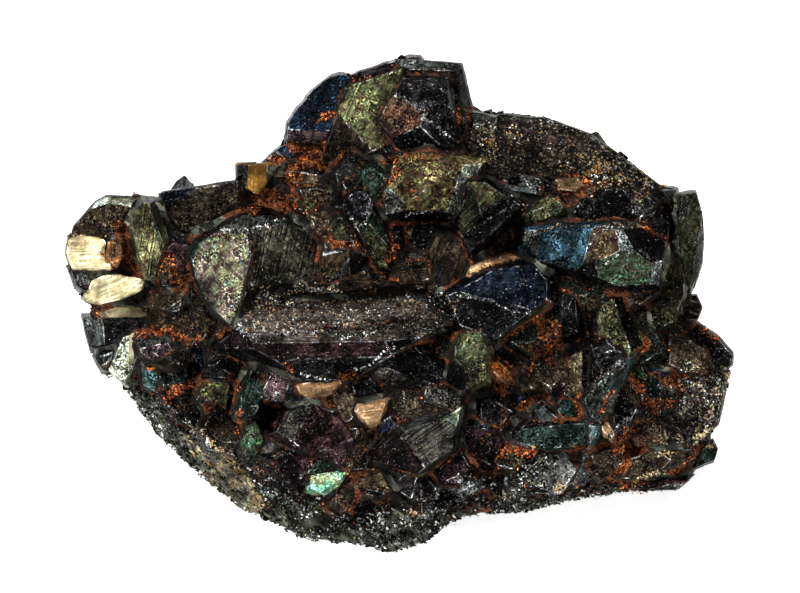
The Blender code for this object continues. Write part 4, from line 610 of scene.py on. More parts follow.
PLACE = Matrix.Scale(MM, 4) @ face_to_part()   # from face coordinates in mm to the world in metres
BACK = PLACE.inverted()


def lifted(point, plane):
    """A point of the face, moved straight out or in until it lies on the plane."""
    position, normal = plane
    a, b = point
    drop = (a - position.x) * normal.x + (b - position.y) * normal.y
    return Vector((a, b, position.z - drop / normal.z))


def folded(plane, start, end, turn, flank):
    """The plane that leaves another one along the line from start to end, turned away to its right.

    A STEEP turn falls at the angle flank, in degrees from the crystal face.
    """
    first = lifted(start, plane)
    along = (lifted(end, plane) - first).normalized()
    if turn is STEEP:
        aside = Vector((along.y, -along.x, 0.0)).normalized()
        angle = math.radians(flank)
        downhill = aside * math.cos(angle) - Vector((0.0, 0.0, 1.0)) * math.sin(angle)
        normal = downhill.cross(along).normalized()
        return first, normal if normal.dot(aside) > 0.0 else -normal
    angle = math.radians(turn)
    outward = along.cross(plane[1])
    return first, (plane[1] * math.cos(angle) + outward * math.sin(angle)).normalized()


def corner_cuts(shape, middle, pick):
    """Two facets that take off corners of a crystal whose row gives no folds."""
    if shape.tint in UNCUT:
        return []
    cuts = []
    angle = pick.uniform(0.0, 360.0)
    for step in (0.0, pick.uniform(*CUT_APART)):
        aside = Vector((math.cos(math.radians(angle + step)), math.sin(math.radians(angle + step))))
        reach = max(aside.x * (a - middle[0]) + aside.y * (b - middle[1]) for a, b in shape.corners)
        foot = Vector(middle) + aside * reach * pick.uniform(*CUT_REACH)
        along = Vector((-aside.y, aside.x))
        tint = pick.choice((shape.tint, shape.tint, "black", "charcoal", "darkbrown"))
        cuts.append((0, tuple(foot - along), tuple(foot + along), pick.uniform(*CUT_TURNS), tint))
    return cuts


def crystal_planes(shape):
    """All planes that cut a crystal, and the tint of each."""
    count = len(shape.corners)
    middle = [sum(corner[axis] for corner in shape.corners) / count for axis in (0, 1)]
    lean = Vector((math.tan(math.radians(shape.right)), math.tan(math.radians(shape.up)), 1.0))
    front = (Vector((middle[0], middle[1], shape.out)), lean.normalized())
    planes = [front]
    tints = [shape.tint]
    pick = random.Random(shape.name)
    on_edge = shape.depth == THIN or not inside_outline(middle[0], middle[1], EDGE_SHARE)
    flanks = EDGE_FLANKS if on_edge else FLANKS
    for edge, start in enumerate(shape.corners, start=1):
        end = shape.corners[edge % count]
        planes.append(folded(front, start, end, shape.turns.get(edge, STEEP), pick.uniform(*flanks)))
        tints.append(shape.tints.get(edge, shape.tint))
    for parent, start, end, turn, tint in shape.folds or corner_cuts(shape, middle, pick):
        planes.append(folded(planes[parent], start, end, turn, pick.uniform(*flanks)))
        tints.append(tint)
    planes.append((front[0] - front[1] * shape.depth, -front[1]))
    tints.append(shape.tint)
    return planes, tints


def lens_planes(lens):
    """The planes of a lens crystal seated on the matrix: base, three rhomb facets and six steep ones."""
    seat = matrix_point(lens.around, lens.back)
    outward = (seat - Vector(HEART)).normalized()
    side = outward.cross(Vector((0.0, 0.0, 1.0))).normalized()
    tilt = Matrix.Rotation(math.radians(lens.lean), 3, side)
    sway = Matrix.Rotation(math.radians(lens.tip), 3, outward.cross(side))
    axis = (sway @ tilt @ outward).normalized()
    across = axis.orthogonal().normalized()
    thickness = lens.radius * LENS_THICKNESS
    planes = [(seat + axis * thickness * LENS_PROUD, axis), (seat - axis * thickness * LENS_DEEP, -axis)]
    for count, polar, reach, offset in LENS_FACETS:
        for step in range(count):
            angle = math.radians(lens.spin + 360.0 * step / count + offset)
            radial = Matrix.Rotation(angle, 3, axis) @ across
            normal = axis * math.cos(math.radians(polar)) + radial * math.sin(math.radians(polar))
            planes.append((seat + radial * lens.radius * reach, normal.normalized()))
    return planes, [lens.tint] * len(planes)


def outline_point(around):
    """A point of the matrix's widest outline; around runs from 0 to 1, once round."""
    place = (around % 1.0) * len(OUTLINE)
    index = int(place)
    here, following = Vector(OUTLINE[index]), Vector(OUTLINE[(index + 1) % len(OUTLINE)])
    return here.lerp(following, place - index)


def matrix_point(around, depth):
    """A point of the matrix's surface; depth is 1 at the back end, 0 at the outline, -1 in front."""
    edge = outline_point(around)
    pole = Vector(BACK_POLE if depth >= 0.0 else FRONT_POLE)
    angle = math.radians(90.0) * abs(depth)
    flat = pole.lerp(edge, math.cos(angle))
    point = Vector((flat.x, flat.y, edge.z + (pole.z - edge.z) * math.sin(angle)))
    for direction, distance in BREAKS:
        normal = Vector(direction).normalized()
        proud = (point - Vector(HEART)).dot(normal) - distance
        if proud > 0.0:
            point -= normal * proud * BREAK_FLATNESS
    strength = ROUGHNESS * min(1.0, abs(depth) * 4.0 + EDGE_ROUGHNESS)
    lumps = Vector([noise.noise(point / LUMP + Vector(shift)) for shift in LUMP_SHIFTS])
    return point + lumps * strength


CHAMFER = 0.2                         # width of the worn crystal edges, which are drawn lighter partly as painted highlight, in mm
NET = 1.3                             # crystals are cut into triangles no longer than about this, in mm
LOOK_SEED = 5

# Facets with strong growth lines: crystal -> (direction of the lines on the face in degrees, depth).
STRIPES = {
    "striated_green": (82.0, 1.0), "striated_wall": (75.0, 0.9), "striated_block": (42.0, 1.0),
    "side_striated": (70.0, 0.8), "brown_striped": (60.0, 0.8), "terrace": (3.0, 1.0),
    "lower_steps": (8.0, 0.9), "step_stack": (-4.0, 1.0), "lined_wedge": (35.0, 0.9),
    "striped_dark": (75.0, 0.9), "grey_striated": (80.0, 1.0), "top_plate": (80.0, 0.5),
    "olive_block": (70.0, 0.5), "tabular": (1.0, 0.9), "petrol_blade": (65.0, 0.6),
    "bronze_prism": (88.0, 0.6), "grey_ridge": (20.0, 0.7), "long_dark": (10.0, 0.5),
}

# Rusty spots and pale spots on the rock between the crystals: a, b and radius in mm.
RUST_SPOTS = [
    (-16, 29, 5), (-26, 19, 4), (-45, 5, 4.5), (-55, 11, 4), (28, -7, 7), (46, -33, 7), (34, -22, 4),
    (20, -14, 3), (-13, 12, 3), (0, 14, 3), (-34, -8, 3), (10, 3, 3), (55, -16, 4), (-60, -2, 4),
    (-20, 26, 3), (36, 22, 4), (50, -9, 3), (-8, -36, 3), (13, 37, 2.5),
]
PALE_SPOTS = [
    (-40, -29, 4), (-36, -33, 4), (-33, -37, 4), (-30, -41, 3.5), (-38, -36, 3), (53, -27, 3), (60, -28, 3),
    (66, -16, 2.5), (50, -35.6, 3), (-31, -42, 3), (-54, 15, 2.5), (40, -36, 2), (4, -40, 2),
]

# Seams of grains on the face: kind, width in mm and the points of the line they follow.
SEAMS = [
    ("rust", 3.0, [(-56.8, 15.6), (-55.2, 12.0), (-53.8, 7.6), (-52.4, 6.4)]),
    ("tan", 3.4, [(-57.0, 15.0), (-55.0, 11.0), (-53.4, 7.6)]),
    ("rust", 3.2, [(-46.4, 9.0), (-45.0, 6.0), (-44.0, 2.4)]),
    ("rust", 3.6, [(-22.0, 31.0), (-19.0, 30.0), (-17.0, 27.0)]),
    ("rust", 2.8, [(-29.0, 19.6), (-26.0, 21.4), (-23.0, 20.0), (-20.4, 18.4)]),
    ("rust", 2.6, [(-22.0, 25.2), (-20.0, 23.6)]),
    ("rust", 1.8, [(-26.4, 28.0), (-23.0, 28.4)]),
    ("red", 1.8, [(-35.0, 17.2), (-31.0, 18.0), (-27.6, 18.8)]),
    ("red", 1.4, [(-33.6, 12.4), (-38.0, 13.2), (-42.0, 12.4)]),
    ("rust", 1.8, [(-3.0, 7.6), (-1.2, 9.2), (-0.8, 11.0)]),
    ("rust", 2.2, [(-53.0, -7.0), (-50.0, -6.4), (-46.0, -6.0), (-42.4, -8.4), (-39.6, -7.0)]),
    ("rust", 2.6, [(-47.6, -20.4), (-44.4, -18.4), (-42.0, -16.4)]),
    ("rust", 1.8, [(-34.4, -14.8), (-32.4, -17.0), (-33.0, -20.4)]),
    ("rust", 1.8, [(-23.4, -12.4), (-21.2, -14.0)]),
    ("rust", 2.0, [(-12.0, -15.2), (-10.2, -15.2), (-8.8, -14.0)]),
    ("rust", 2.6, [(19.6, -31.2), (22.0, -29.6), (25.0, -30.4), (27.2, -30.0)]),
    ("rust", 2.0, [(18.0, -12.0), (20.0, -13.6), (21.6, -15.6)]),
    ("red", 4.0, [(30.6, -4.0), (29.6, -7.0), (29.0, -10.4)]),
    ("red", 3.0, [(25.6, -10.0), (29.0, -11.2), (30.4, -12.8)]),
    ("red", 2.4, [(34.4, -29.6), (38.0, -29.2), (36.0, -31.6)]),
    ("rust", 2.6, [(48.0, -20.4), (50.0, -21.2), (52.4, -20.0), (54.2, -21.2)]),
    ("rust", 2.2, [(46.0, -16.0), (48.8, -18.0)]),
    ("rust", 1.3, [(44.6, -25.0), (44.0, -28.0), (42.8, -31.2)]),
    ("rust", 2.0, [(59.6, -4.8), (62.4, -7.0), (64.2, -8.4)]),
    ("rust", 1.8, [(53.6, -34.8), (56.4, -33.8), (58.8, -31.2), (60.8, -29.6)]),
    ("rust", 1.8, [(-0.8, 28.0), (-0.4, 25.2), (-2.6, 22.8)]),
    ("red", 1.4, [(0.8, 28.6), (5.6, 29.6), (8.8, 28.4)]),
    ("red", 1.4, [(4.0, -8.6), (8.0, -8.4), (11.2, -6.8)]),
    ("rust", 1.5, [(-39.4, -20.6), (-38.2, -23.2)]),
    ("rust", 1.4, [(-31.6, -21.6), (-32.8, -26.8)]),
    ("rust", 1.5, [(-15.0, -20.0), (-12.8, -21.2)]),
    ("red", 1.8, [(-7.2, -37.2), (-8.6, -39.6), (-9.8, -42.6)]),
    ("rust", 1.6, [(48.0, 14.8), (51.2, 12.8), (53.6, 12.0)]),
    ("tan", 0.6, [(28.0, 13.6), (32.0, 15.2), (36.0, 16.0), (41.0, 15.2), (48.0, 14.4)]),
    ("rust", 1.5, [(42.2, -18.0), (40.6, -20.4), (39.2, -22.8)]),
    ("red", 1.6, [(14.0, -30.4), (15.2, -33.2)]),
    ("red", 1.8, [(7.6, -32.4), (10.4, -31.6)]),
    ("red", 1.6, [(-3.0, 5.0), (0.0, 3.6)]),
    ("red", 1.4, [(-10.0, 5.0), (-9.6, 2.0)]),
    ("rust", 1.6, [(29.0, -19.2), (26.0, -20.4), (23.6, -21.6)]),
    ("rust", 1.2, [(-26.8, -20.0), (-24.8, -21.6), (-23.2, -22.4)]),
    ("red", 1.8, [(40.0, 1.6), (45.0, 1.2), (45.2, -2.0)]),
    # silver seams: bright grains along broken edges, partly the edges' own silvery colour and partly painted
    # highlight
    ("silver", 0.7, [(-11.0, 19.0), (-10.0, 16.8), (-8.4, 14.4), (-6.8, 15.6), (-5.8, 18.0)]),
    ("silver", 0.5, [(-9.6, 13.0), (-8.8, 9.0), (-7.6, 6.4), (-7.0, 5.2)]),
    ("silver", 0.9, [(-37.6, 14.4), (-33.0, 13.6), (-30.0, 14.0), (-27.0, 14.6), (-24.0, 15.8),
                     (-20.6, 16.4)]),
    ("silver", 1.3, [(-30.6, 11.8), (-29.2, 13.6)]),
    ("silver", 1.5, [(-32.4, -4.4), (-30.8, -6.8), (-27.6, -8.0), (-23.0, -6.8), (-19.0, -6.0),
                     (-15.0, -6.4), (-11.2, -7.6), (-7.6, -7.0), (-4.4, -6.0)]),
    ("silver", 1.2, [(-4.4, -6.0), (0.0, -4.6), (2.4, -6.0), (5.2, -5.6), (8.0, -6.8)]),
    ("silver", 0.4, [(-32.4, -0.4), (-29.6, 3.0), (-27.2, 4.4), (-23.2, 3.4)]),
    ("silver", 0.6, [(-23.2, 3.4), (-18.0, 1.8), (-14.0, 2.4), (-10.8, 4.0)]),
    ("silver", 1.2, [(-0.8, 2.4), (1.2, 0.8), (3.6, -0.2), (7.2, 0.4), (9.2, 1.6)]),
    ("silver", 0.9, [(-0.8, 40.6), (1.2, 39.8), (3.2, 38.2), (5.2, 37.4), (4.2, 36.0), (5.8, 35.4)]),
    ("silver", 0.4, [(6.0, 35.4), (9.0, 33.0), (11.6, 31.2)]),
    ("silver", 0.6, [(8.0, 39.8), (9.6, 38.4), (11.0, 37.0)]),
    ("silver", 1.0, [(8.6, 16.6), (9.8, 16.4), (10.2, 19.0), (11.2, 22.0), (12.0, 25.6)]),
    ("silver", 0.6, [(0.0, 16.6), (3.0, 17.4), (6.4, 17.6)]),
    ("silver", 0.4, [(15.2, 16.8), (22.4, 21.0)]),
    ("silver", 0.4, [(16.4, 15.4), (23.6, 19.4)]),
    ("silver", 2.0, [(22.0, 24.8), (25.6, 23.4), (29.0, 22.6)]),
    ("silver", 1.2, [(45.2, 18.8), (46.8, 17.2), (48.0, 15.6)]),
    ("silver", 1.0, [(55.2, 16.8), (56.4, 19.6)]),
    ("silver", 0.3, [(26.0, 12.4), (29.0, 13.8), (34.0, 14.4), (38.4, 14.4), (44.4, 14.2)]),
    ("silver", 0.3, [(29.8, 3.4), (32.4, 5.0), (36.2, 7.0), (38.4, 13.2)]),
    ("silver", 0.4, [(39.0, 6.0), (43.0, 9.0), (47.2, 10.0), (50.0, 7.6), (52.4, 7.6)]),
    ("silver", 0.5, [(11.2, 1.0), (15.2, 0.4), (19.0, -0.6), (21.6, -2.0), (26.0, -2.6)]),
    ("silver", 0.5, [(-9.6, -14.0), (-6.0, -12.8), (-2.8, -10.0), (-0.6, -9.0)]),
    ("silver", 1.3, [(-44.4, -12.8), (-42.0, -11.6), (-40.6, -10.8)]),
    ("silver", 1.4, [(-27.4, -18.0), (-25.6, -19.6), (-23.8, -19.0)]),
    ("silver", 1.4, [(37.2, -18.8), (38.4, -17.0), (40.8, -14.8), (43.2, -13.0), (44.6, -12.0)]),
    ("silver", 0.9, [(32.6, -16.2), (33.0, -18.8), (35.2, -19.6)]),
    ("silver", 0.8, [(41.2, -28.0), (42.4, -26.0), (46.0, -23.0), (48.2, -20.8), (48.2, -18.4)]),
    ("silver", 1.4, [(51.6, -16.8), (53.0, -18.2), (54.6, -17.2)]),
    ("silver", 1.3, [(-25.2, -31.2), (-22.4, -30.0), (-20.6, -29.4)]),
    ("grit", 5.0, [(21.0, -36.4), (26.0, -35.6), (30.4, -33.6), (32.0, -32.0)]),
    ("grit", 3.5, [(11.0, -35.2), (14.8, -37.0), (19.0, -36.0)]),
    ("grit", 7.0, [(-27.0, -36.0), (-24.0, -39.0), (-19.0, -44.0)]),
    ("grit", 6.0, [(-8.0, -46.0), (-3.0, -48.0), (3.0, -45.0), (10.0, -40.0)]),
    ("grit", 4.0, [(-14.0, -44.0), (-8.0, -44.0), (-2.0, -43.0)]),
    ("silver", 1.8, [(3.6, -39.4), (4.8, -40.0)]),
    ("cream", 1.0, [(64.4, -13.2), (66.4, -15.2), (66.6, -17.2)]),
    ("cream", 1.7, [(-43.2, -26.0), (-40.0, -26.4), (-37.0, -29.2), (-33.0, -32.4), (-30.8, -35.6),
                    (-29.4, -39.2), (-28.2, -42.2)]),
    ("cream", 2.8, [(52.0, -27.6), (52.8, -31.0)]),
    ("cream", 2.6, [(59.0, -26.8), (62.0, -28.0), (62.4, -30.0)]),
    ("cream", 1.4, [(55.2, -25.6), (56.4, -28.8)]),
    ("cream", 2.0, [(46.4, -37.0), (49.2, -35.2), (53.2, -34.6)]),
    ("cream", 2.0, [(31.0, -38.4), (32.4, -36.2)]),
    ("cream", 1.0, [(34.8, -36.4), (35.8, -37.6)]),
    ("tan", 1.8, [(18.4, -38.8), (21.2, -39.4)]),
    ("cream", 1.6, [(-33.2, -41.6), (-29.6, -42.8)]),
    ("gold", 5.0, [(-40.8, -34.0), (-37.0, -35.6), (-32.0, -38.0)]),
    ("cream", 2.0, [(2.0, -42.0), (4.8, -43.0)]),
    ("speckled", 6.0, [(-30.0, 1.0), (-20.0, 0.5), (-8.0, 0.0)]),
    ("speckled", 6.0, [(-8.0, 0.0), (4.0, -1.0), (11.0, -3.0)]),
    ("speckled", 5.0, [(-31.0, -5.0), (-20.0, -4.5), (10.0, -4.5)]),
    ("stain", 5.5, [(-1.0, 28.2), (8.0, 28.6)]),
    ("stain", 2.6, [(1.4, 23.6), (3.2, 20.0)]),
    ("stain", 2.4, [(-16.8, 35.6), (-13.2, 37.0)]),
    ("stain", 2.4, [(49.6, -19.6), (52.4, -24.0)]),
    ("stain", 2.2, [(-39.0, -17.0), (-35.0, -22.0)]),
    ("stain", 2.6, [(29.0, 0.0), (32.0, -9.0)]),
    ("stain", 2.4, [(48.0, -26.0), (40.0, -30.0)]),
    ("stain", 2.0, [(-18.0, 11.0), (-15.0, 6.0)]),
    ("stain", 2.0, [(20.0, -16.0), (21.0, -24.0), (16.0, -28.0)]),
    ("rust", 1.6, [(-16.0, 36.4), (-13.4, 37.6)]),
    ("rust", 1.0, [(11.0, 13.6), (14.0, 7.6)]),
    ("rust", 1.0, [(1.0, 7.6), (6.0, 8.4)]),
    ("red", 1.0, [(-20.0, -6.0), (-10.0, -5.0), (0.0, -4.4)]),
    ("red", 1.2, [(32.0, 2.0), (38.0, 2.4)]),
    ("tan", 1.0, [(25.0, 19.0), (24.6, 16.4)]),
    ("silver", 0.8, [(-20.0, -14.4), (-14.0, -16.0)]),
    ("silver", 0.8, [(-58.0, 7.6), (-56.4, 12.0), (-57.6, 13.6)]),
    ("speckled", 6.5, [(54.4, -14.4), (60.0, -16.0), (64.4, -17.0)]),
    ("speckled", 6.5, [(55.0, -20.0), (61.0, -22.0), (64.0, -22.4)]),
    ("speckled", 4.0, [(56.0, -25.0), (62.4, -25.0)]),
    ("grit", 3.0, [(-53.0, -21.0), (-48.0, -27.0), (-42.0, -33.0)]),
    ("grit", 3.0, [(-50.0, -20.0), (-43.0, -25.0), (-37.0, -30.0)]),
    ("grit", 4.0, [(-32.0, -31.0), (-27.6, -34.0)]),
    ("grit", 3.0, [(8.0, -40.0), (20.0, -41.0), (32.0, -40.0)]),
    ("grit", 2.5, [(-20.0, -47.0), (-12.0, -46.4)]),
    ("silver", 0.9, [(-6.8, 20.8), (-5.6, 19.0), (-6.2, 17.2)]),
    ("speckled", 5.0, [(-30.0, 0.0), (-20.0, 0.0), (-12.0, 0.8)]),
    ("gold", 2.0, [(27.4, 32.2), (29.6, 31.6)]),
    ("gold", 7.5, [(14.0, 32.0), (28.0, 30.0), (42.0, 25.0), (50.0, 22.0)]),
    ("gold", 2.4, [(34.4, 31.2), (36.4, 30.4)]),
    ("gold", 3.4, [(23.8, 28.8), (27.6, 28.4)]),
    ("gold", 2.4, [(36.4, 26.6), (39.2, 26.0)]),
    ("gold", 1.6, [(24.2, 31.4), (25.6, 30.6)]),
    ("gold", 2.0, [(29.6, 29.6), (32.4, 29.2)]),
    ("gold", 6.5, [(18.0, 33.0), (28.0, 30.0), (42.0, 27.0)]),
]

TONE = 0.42                           # how dark metallic tints are drawn
TONE_SPREAD = (0.6, 1.4)              # how much darker or lighter one facet may be
WARMTH = 0.08                         # how much warmer or colder its ground and mottling
ROUGHNESS_SPREAD = 0.06
METAL_FROM = 0.1                      # a tint is metallic above this
PLAIN_STRIPES = 0.42                  # how strong the growth lines are where none are named
WAVES = ((3.6, 0.20), (1.1, 0.07))    # unevenness of the crystals: wavelength and depth in mm
# Worn edges: the chamfers are drawn lighter than their facets, partly for wear and partly as a painted
# highlight along the rims.
WEAR_SHEEN_SHARE = 0.08                     # how much noise a worn edge needs before its lighter colour, wear and painted highlight, shows
WEAR_SHEEN_LIGHT = 2.2                      # how much lighter than its facets it is: partly wear, partly painted highlight
WEAR_SHEEN_GROUND = (0.5, 0.10)             # its ground colour: a share of the mottling, and white added
WEAR_SHEEN_MOTTLE = (0.9, 0.20)             # its mottling, in the same way
Spot = namedtuple("Spot", "place axis size tint")


def cut_block(planes):
    """A block cut back to the planes; each face's material index is the number of its plane."""
    mesh = bmesh.new()
    bmesh.ops.create_cube(mesh, size=BLOCK, matrix=Matrix.Translation(planes[0][0]))
    for number, (point, normal) in enumerate(planes):
        everything = mesh.verts[:] + mesh.edges[:] + mesh.faces[:]
        cut = bmesh.ops.bisect_plane(mesh, geom=everything, dist=CUT_TOLERANCE, plane_co=point,
                                     plane_no=normal, clear_outer=True)
        rim = [item for item in cut["geom_cut"] if isinstance(item, bmesh.types.BMEdge)]
        if len(rim) > 2:
            for face in bmesh.ops.edgeloop_fill(mesh, edges=rim)["faces"]:
                face.material_index = number
    bmesh.ops.remove_doubles(mesh, verts=mesh.verts, dist=CORNER_WELD)
    bmesh.ops.recalc_face_normals(mesh, faces=mesh.faces)
    return mesh


def line_direction(name, normal, polygon):
    """The way the growth lines run on a facet: the one given for the crystal, or its longest edge."""
    if name in STRIPES:
        angle = math.radians(STRIPES[name][0])
        along = Vector((math.cos(angle), math.sin(angle), 0.0))
        along -= normal * along.dot(normal)
        if along.length > 0.2:
            return along.normalized()
    sides = [polygon[(k + 1) % len(polygon)] - polygon[k] for k in range(len(polygon))]
    return max(sides, key=lambda side: side.length).normalized()


LAYERS = ("ground", "mottle", "patch", "finish")


def dressed(name, data, material):
    """The visible piece made of a finished mesh."""
    data.materials.append(material)
    made = bpy.data.objects.new(name, data)
    bpy.context.scene.collection.objects.link(made)
    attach(made, "root")
    print("piece", name, len(data.polygons), "faces")


class Piece:
    """Collects the crystals of one region into one mesh with its colours."""

    def __init__(self, name):
        self.name = name
        self.verts = []
        self.faces = []
        self.values = {key: [] for key in LAYERS + ("lines",)}

    def add(self, mesh, shade):
        """Adds a bmesh given in face coordinates; shade gives each face's values."""
        drop_hidden(mesh)
        start = len(self.verts)
        mesh.verts.index_update()
        self.verts.extend(tuple(uneven(v.co)) for v in mesh.verts)
        for face in mesh.faces:
            self.faces.append([start + v.index for v in face.verts])
            row = shade(face)
            for key in LAYERS:
                self.values[key].append(row[key])
            self.values["lines"].extend(row["across"].dot(v.co) for v in face.verts)

    def build(self, material):
        """Makes the Blender object, in metres, placed in the standing part."""
        data = bpy.data.meshes.new(self.name)
        data.from_pydata(boxed([PLACE @ Vector(v) for v in self.verts]).tolist(), [], self.faces)
        for key in LAYERS:
            layer = data.attributes.new(key, "FLOAT_COLOR", "FACE")
            layer.data.foreach_set("color", np.array(self.values[key], np.float32).ravel())
        layer = data.attributes.new("lines", "FLOAT", "CORNER")
        layer.data.foreach_set("value", np.array(self.values["lines"], np.float32))
        rust = data.attributes.new("rust", "FLOAT", "POINT")
        rust.data.foreach_set("value", np.array([rustiness(v) for v in self.verts], np.float32))
        dressed(self.name, data, material)


HIDDEN_DEPTH = 1.2                    # what lies deeper under the solid's surface isn't drawn, in mm


def skin_tree():
    """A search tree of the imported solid's surface, in face coordinates."""
    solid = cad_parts["specimen"].data
    return BVHTree.FromPolygons([BACK @ v.co for v in solid.vertices], [p.vertices for p in solid.polygons])


SKIN = skin_tree()


def drop_hidden(mesh):
    """Takes off the faces of a crystal that lie deep inside the solid."""
    deep = {v for v in mesh.verts if SKIN.find_nearest(v.co, HIDDEN_DEPTH)[0] is None}
    hidden = [face for face in mesh.faces if all(v in deep for v in face.verts)]
    bmesh.ops.delete(mesh, geom=hidden, context="FACES")


def boxed(points):
    """World points in metres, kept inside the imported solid's box."""
    return np.clip(points, np.array(cad_low), np.array(cad_high))


def uneven(point):
    """A point of a crystal, moved a little so that no facet is perfectly flat and no edge straight."""
    moved = point.copy()
    for wave, depth in WAVES:
        moved += Vector([noise.noise(point / wave + Vector(shift)) for shift in LUMP_SHIFTS]) * depth
    return moved


def colour_row(tint, pick, worn=False):
    """The values a facet of this tint gets, a little different each time."""
    ground, mottle, patch, roughness, metallic, play = TINTS[tint]
    level = pick.uniform(*TONE_SPREAD) * (TONE if metallic > METAL_FROM else 1.0)
    warm = pick.uniform(-WARMTH, WARMTH)
    shift = (1.0 + warm, 1.0, 1.0 - warm)
    # a worn edge is drawn lighter: partly wear, partly painted highlight
    if worn:
        level *= WEAR_SHEEN_LIGHT
        ground = tuple(WEAR_SHEEN_GROUND[0] * c + WEAR_SHEEN_GROUND[1] for c in mottle)
        mottle = tuple(WEAR_SHEEN_MOTTLE[0] * c + WEAR_SHEEN_MOTTLE[1] for c in mottle)
    return {
        "ground": tuple(c * level * s for c, s in zip(ground, shift)) + (1.0,),
        "mottle": tuple(c * level * s for c, s in zip(mottle, shift)) + (1.0,),
        "patch": tuple(c * level for c in patch) + (1.0,),
        "finish": (roughness + pick.uniform(-ROUGHNESS_SPREAD, ROUGHNESS_SPREAD), metallic, play, 0.0),
    }


FOOT_GAP = 0.3                        # crystals end this far above the floor, inside the crust, in mm
GRAINY_NET = 0.5                      # how fine the net of a granular facet is, as a share of NET
GRAINY_LUMPS = ((0.9, 0.4), (3.0, 0.3))   # its lumps: size and height in mm
GRAINY_SINK = 0.3                     # how far it lies inward, so that the lumps stay inside, in mm
WEAR_SHEEN_PATCH = 1.7                      # size of the lighter stretches of an edge, worn and painted as highlight, in mm


def foot_plane():
    """The level that cuts off the crystals just above the floor, in face coordinates."""
    return BACK @ Vector((0.0, 0.0, FOOT_GAP * MM)), (BACK.to_3x3() @ Vector((0.0, 0.0, -1.0))).normalized()


def add_crystal(piece, name, planes, tints, pick):
    """One crystal with chamfered edges, drawn lighter as wear and as painted highlight, and growth layers on
    its larger facets.
    """
    outer = len(planes) - 1
    planes = list(planes) + [foot_plane()]
    tints = list(tints) + [tints[-1]]
    mesh = cut_block(planes)
    depth = STRIPES[name][1] if name in STRIPES else PLAIN_STRIPES
    across = {}
    layers = []
    for face in mesh.faces:
        number = face.material_index
        polygon = [v.co.copy() for v in face.verts]
        along = line_direction(name, face.normal, polygon)
        across[number] = face.normal.cross(along)
        if number < outer and face.calc_area() > LAYER_AREA and name not in UNLAYERED:
            layers.append((number, face.normal.copy(), polygon, face.calc_area()))
    rows = {number: colour_row(tints[number], pick) for number in across}
    wear_sheen_rows = {number: colour_row(tints[number], pick, worn=True) for number in across}
    mark = mesh.faces.layers.int.new("worn")
    bevel = bmesh.ops.bevel(mesh, geom=mesh.edges[:], offset=CHAMFER, segments=1, profile=0.5,
                            affect="EDGES", clamp_overlap=True, material=-1)
    for face in bevel["faces"]:
        face[mark] = 1
    coarse = [face for face in mesh.faces if tints[face.material_index] == "grains"]
    if coarse:
        fine_net(mesh, NET * GRAINY_NET)
        for vertex in mesh.verts:
            if all(tints[face.material_index] == "grains" for face in vertex.link_faces):
                lump = sum(noise.noise(vertex.co / size) * height for size, height in GRAINY_LUMPS)
                vertex.co += vertex.normal * (lump - GRAINY_SINK)
    fine_net(mesh, NET)
    mark = mesh.faces.layers.int["worn"]

    def shade(face):
        number = face.material_index
        # lighter edge stretches: wear and painted highlight
        bare = face[mark] and noise.noise(face.calc_center_median() / WEAR_SHEEN_PATCH) > WEAR_SHEEN_SHARE
        row = dict(wear_sheen_rows[number] if bare else rows[number])
        row["across"] = across[number]
        row["finish"] = row["finish"][:3] + (depth,)
        return row

    piece.add(mesh, shade)
    mesh.free()
    for number, normal, polygon, area in layers:
        grow_layers(piece, normal, polygon, area, rows[number], across[number], depth, pick)


LAYER_AREA = 9.0                      # facets larger than this carry growth layers, in square mm
LAYER_MORE = (30.0, 90.0)             # those larger than each of these carry one layer more
LAYER_STEP = (0.03, 0.13)             # how thick a growth layer is, in mm
LAYER_ROOT = 0.3                      # how deep its sides reach into the facet, in mm
LAYER_INSET = 0.95                    # the first layer's outline, as a share of the facet's
LAYER_SHRINK = 0.97                   # each further layer's, as a share of the last one's
LAYER_START = (0.12, 0.5)             # where it is broken off, as a share of the facet's width
LAYER_LIGHT = (0.85, 1.2)             # how light it is beside its facet
UNLAYERED = ("rainbow_plate", "tabular", "olive_block")


def grow_layers(piece, normal, polygon, area, tone, across, depth, pick):
    """Thin growth layers stacked on a facet, each one broken off along a straight line."""
    middle = sum(polygon, Vector()) / len(polygon)
    level = 0.0
    outline = [middle + (corner - middle) * LAYER_INSET for corner in polygon]
    for _ in range(1 + sum(area >= limit for limit in LAYER_MORE)):
        side = pick.randrange(len(polygon))
        along = (polygon[(side + 1) % len(polygon)] - polygon[side]).normalized()
        inward = normal.cross(along)
        if (middle - polygon[side]).dot(inward) < 0:
            inward = -inward
        reach = max((corner - polygon[side]).dot(inward) for corner in outline)
        start = polygon[side] + inward * reach * pick.uniform(*LAYER_START)
        outline = clipped(outline, start, inward)
        if len(outline) < 3:
            return
        step = pick.uniform(*LAYER_STEP)
        slab = prism(outline, normal, level - LAYER_ROOT, level + step)
        level += step
        fine_net(slab, NET)
        light = pick.uniform(*LAYER_LIGHT)
        row = {key: tuple(c * light for c in tone[key][:3]) + (1.0,) for key in LAYERS[:3]}
        row["across"] = across
        row["finish"] = tone["finish"][:3] + (depth,)
        piece.add(slab, lambda face: row)
        slab.free()
        middle = sum(outline, Vector()) / len(outline)
        outline = [middle + (corner - middle) * LAYER_SHRINK for corner in outline]


def clipped(outline, start, inward):
    """The part of a flat polygon on the inward side of a line."""
    kept = []
    for index, here in enumerate(outline):
        following = outline[(index + 1) % len(outline)]
        near, far = (here - start).dot(inward), (following - start).dot(inward)
        if near >= 0:
            kept.append(here)
        if near * far < 0:
            kept.append(here.lerp(following, near / (near - far)))
    return kept


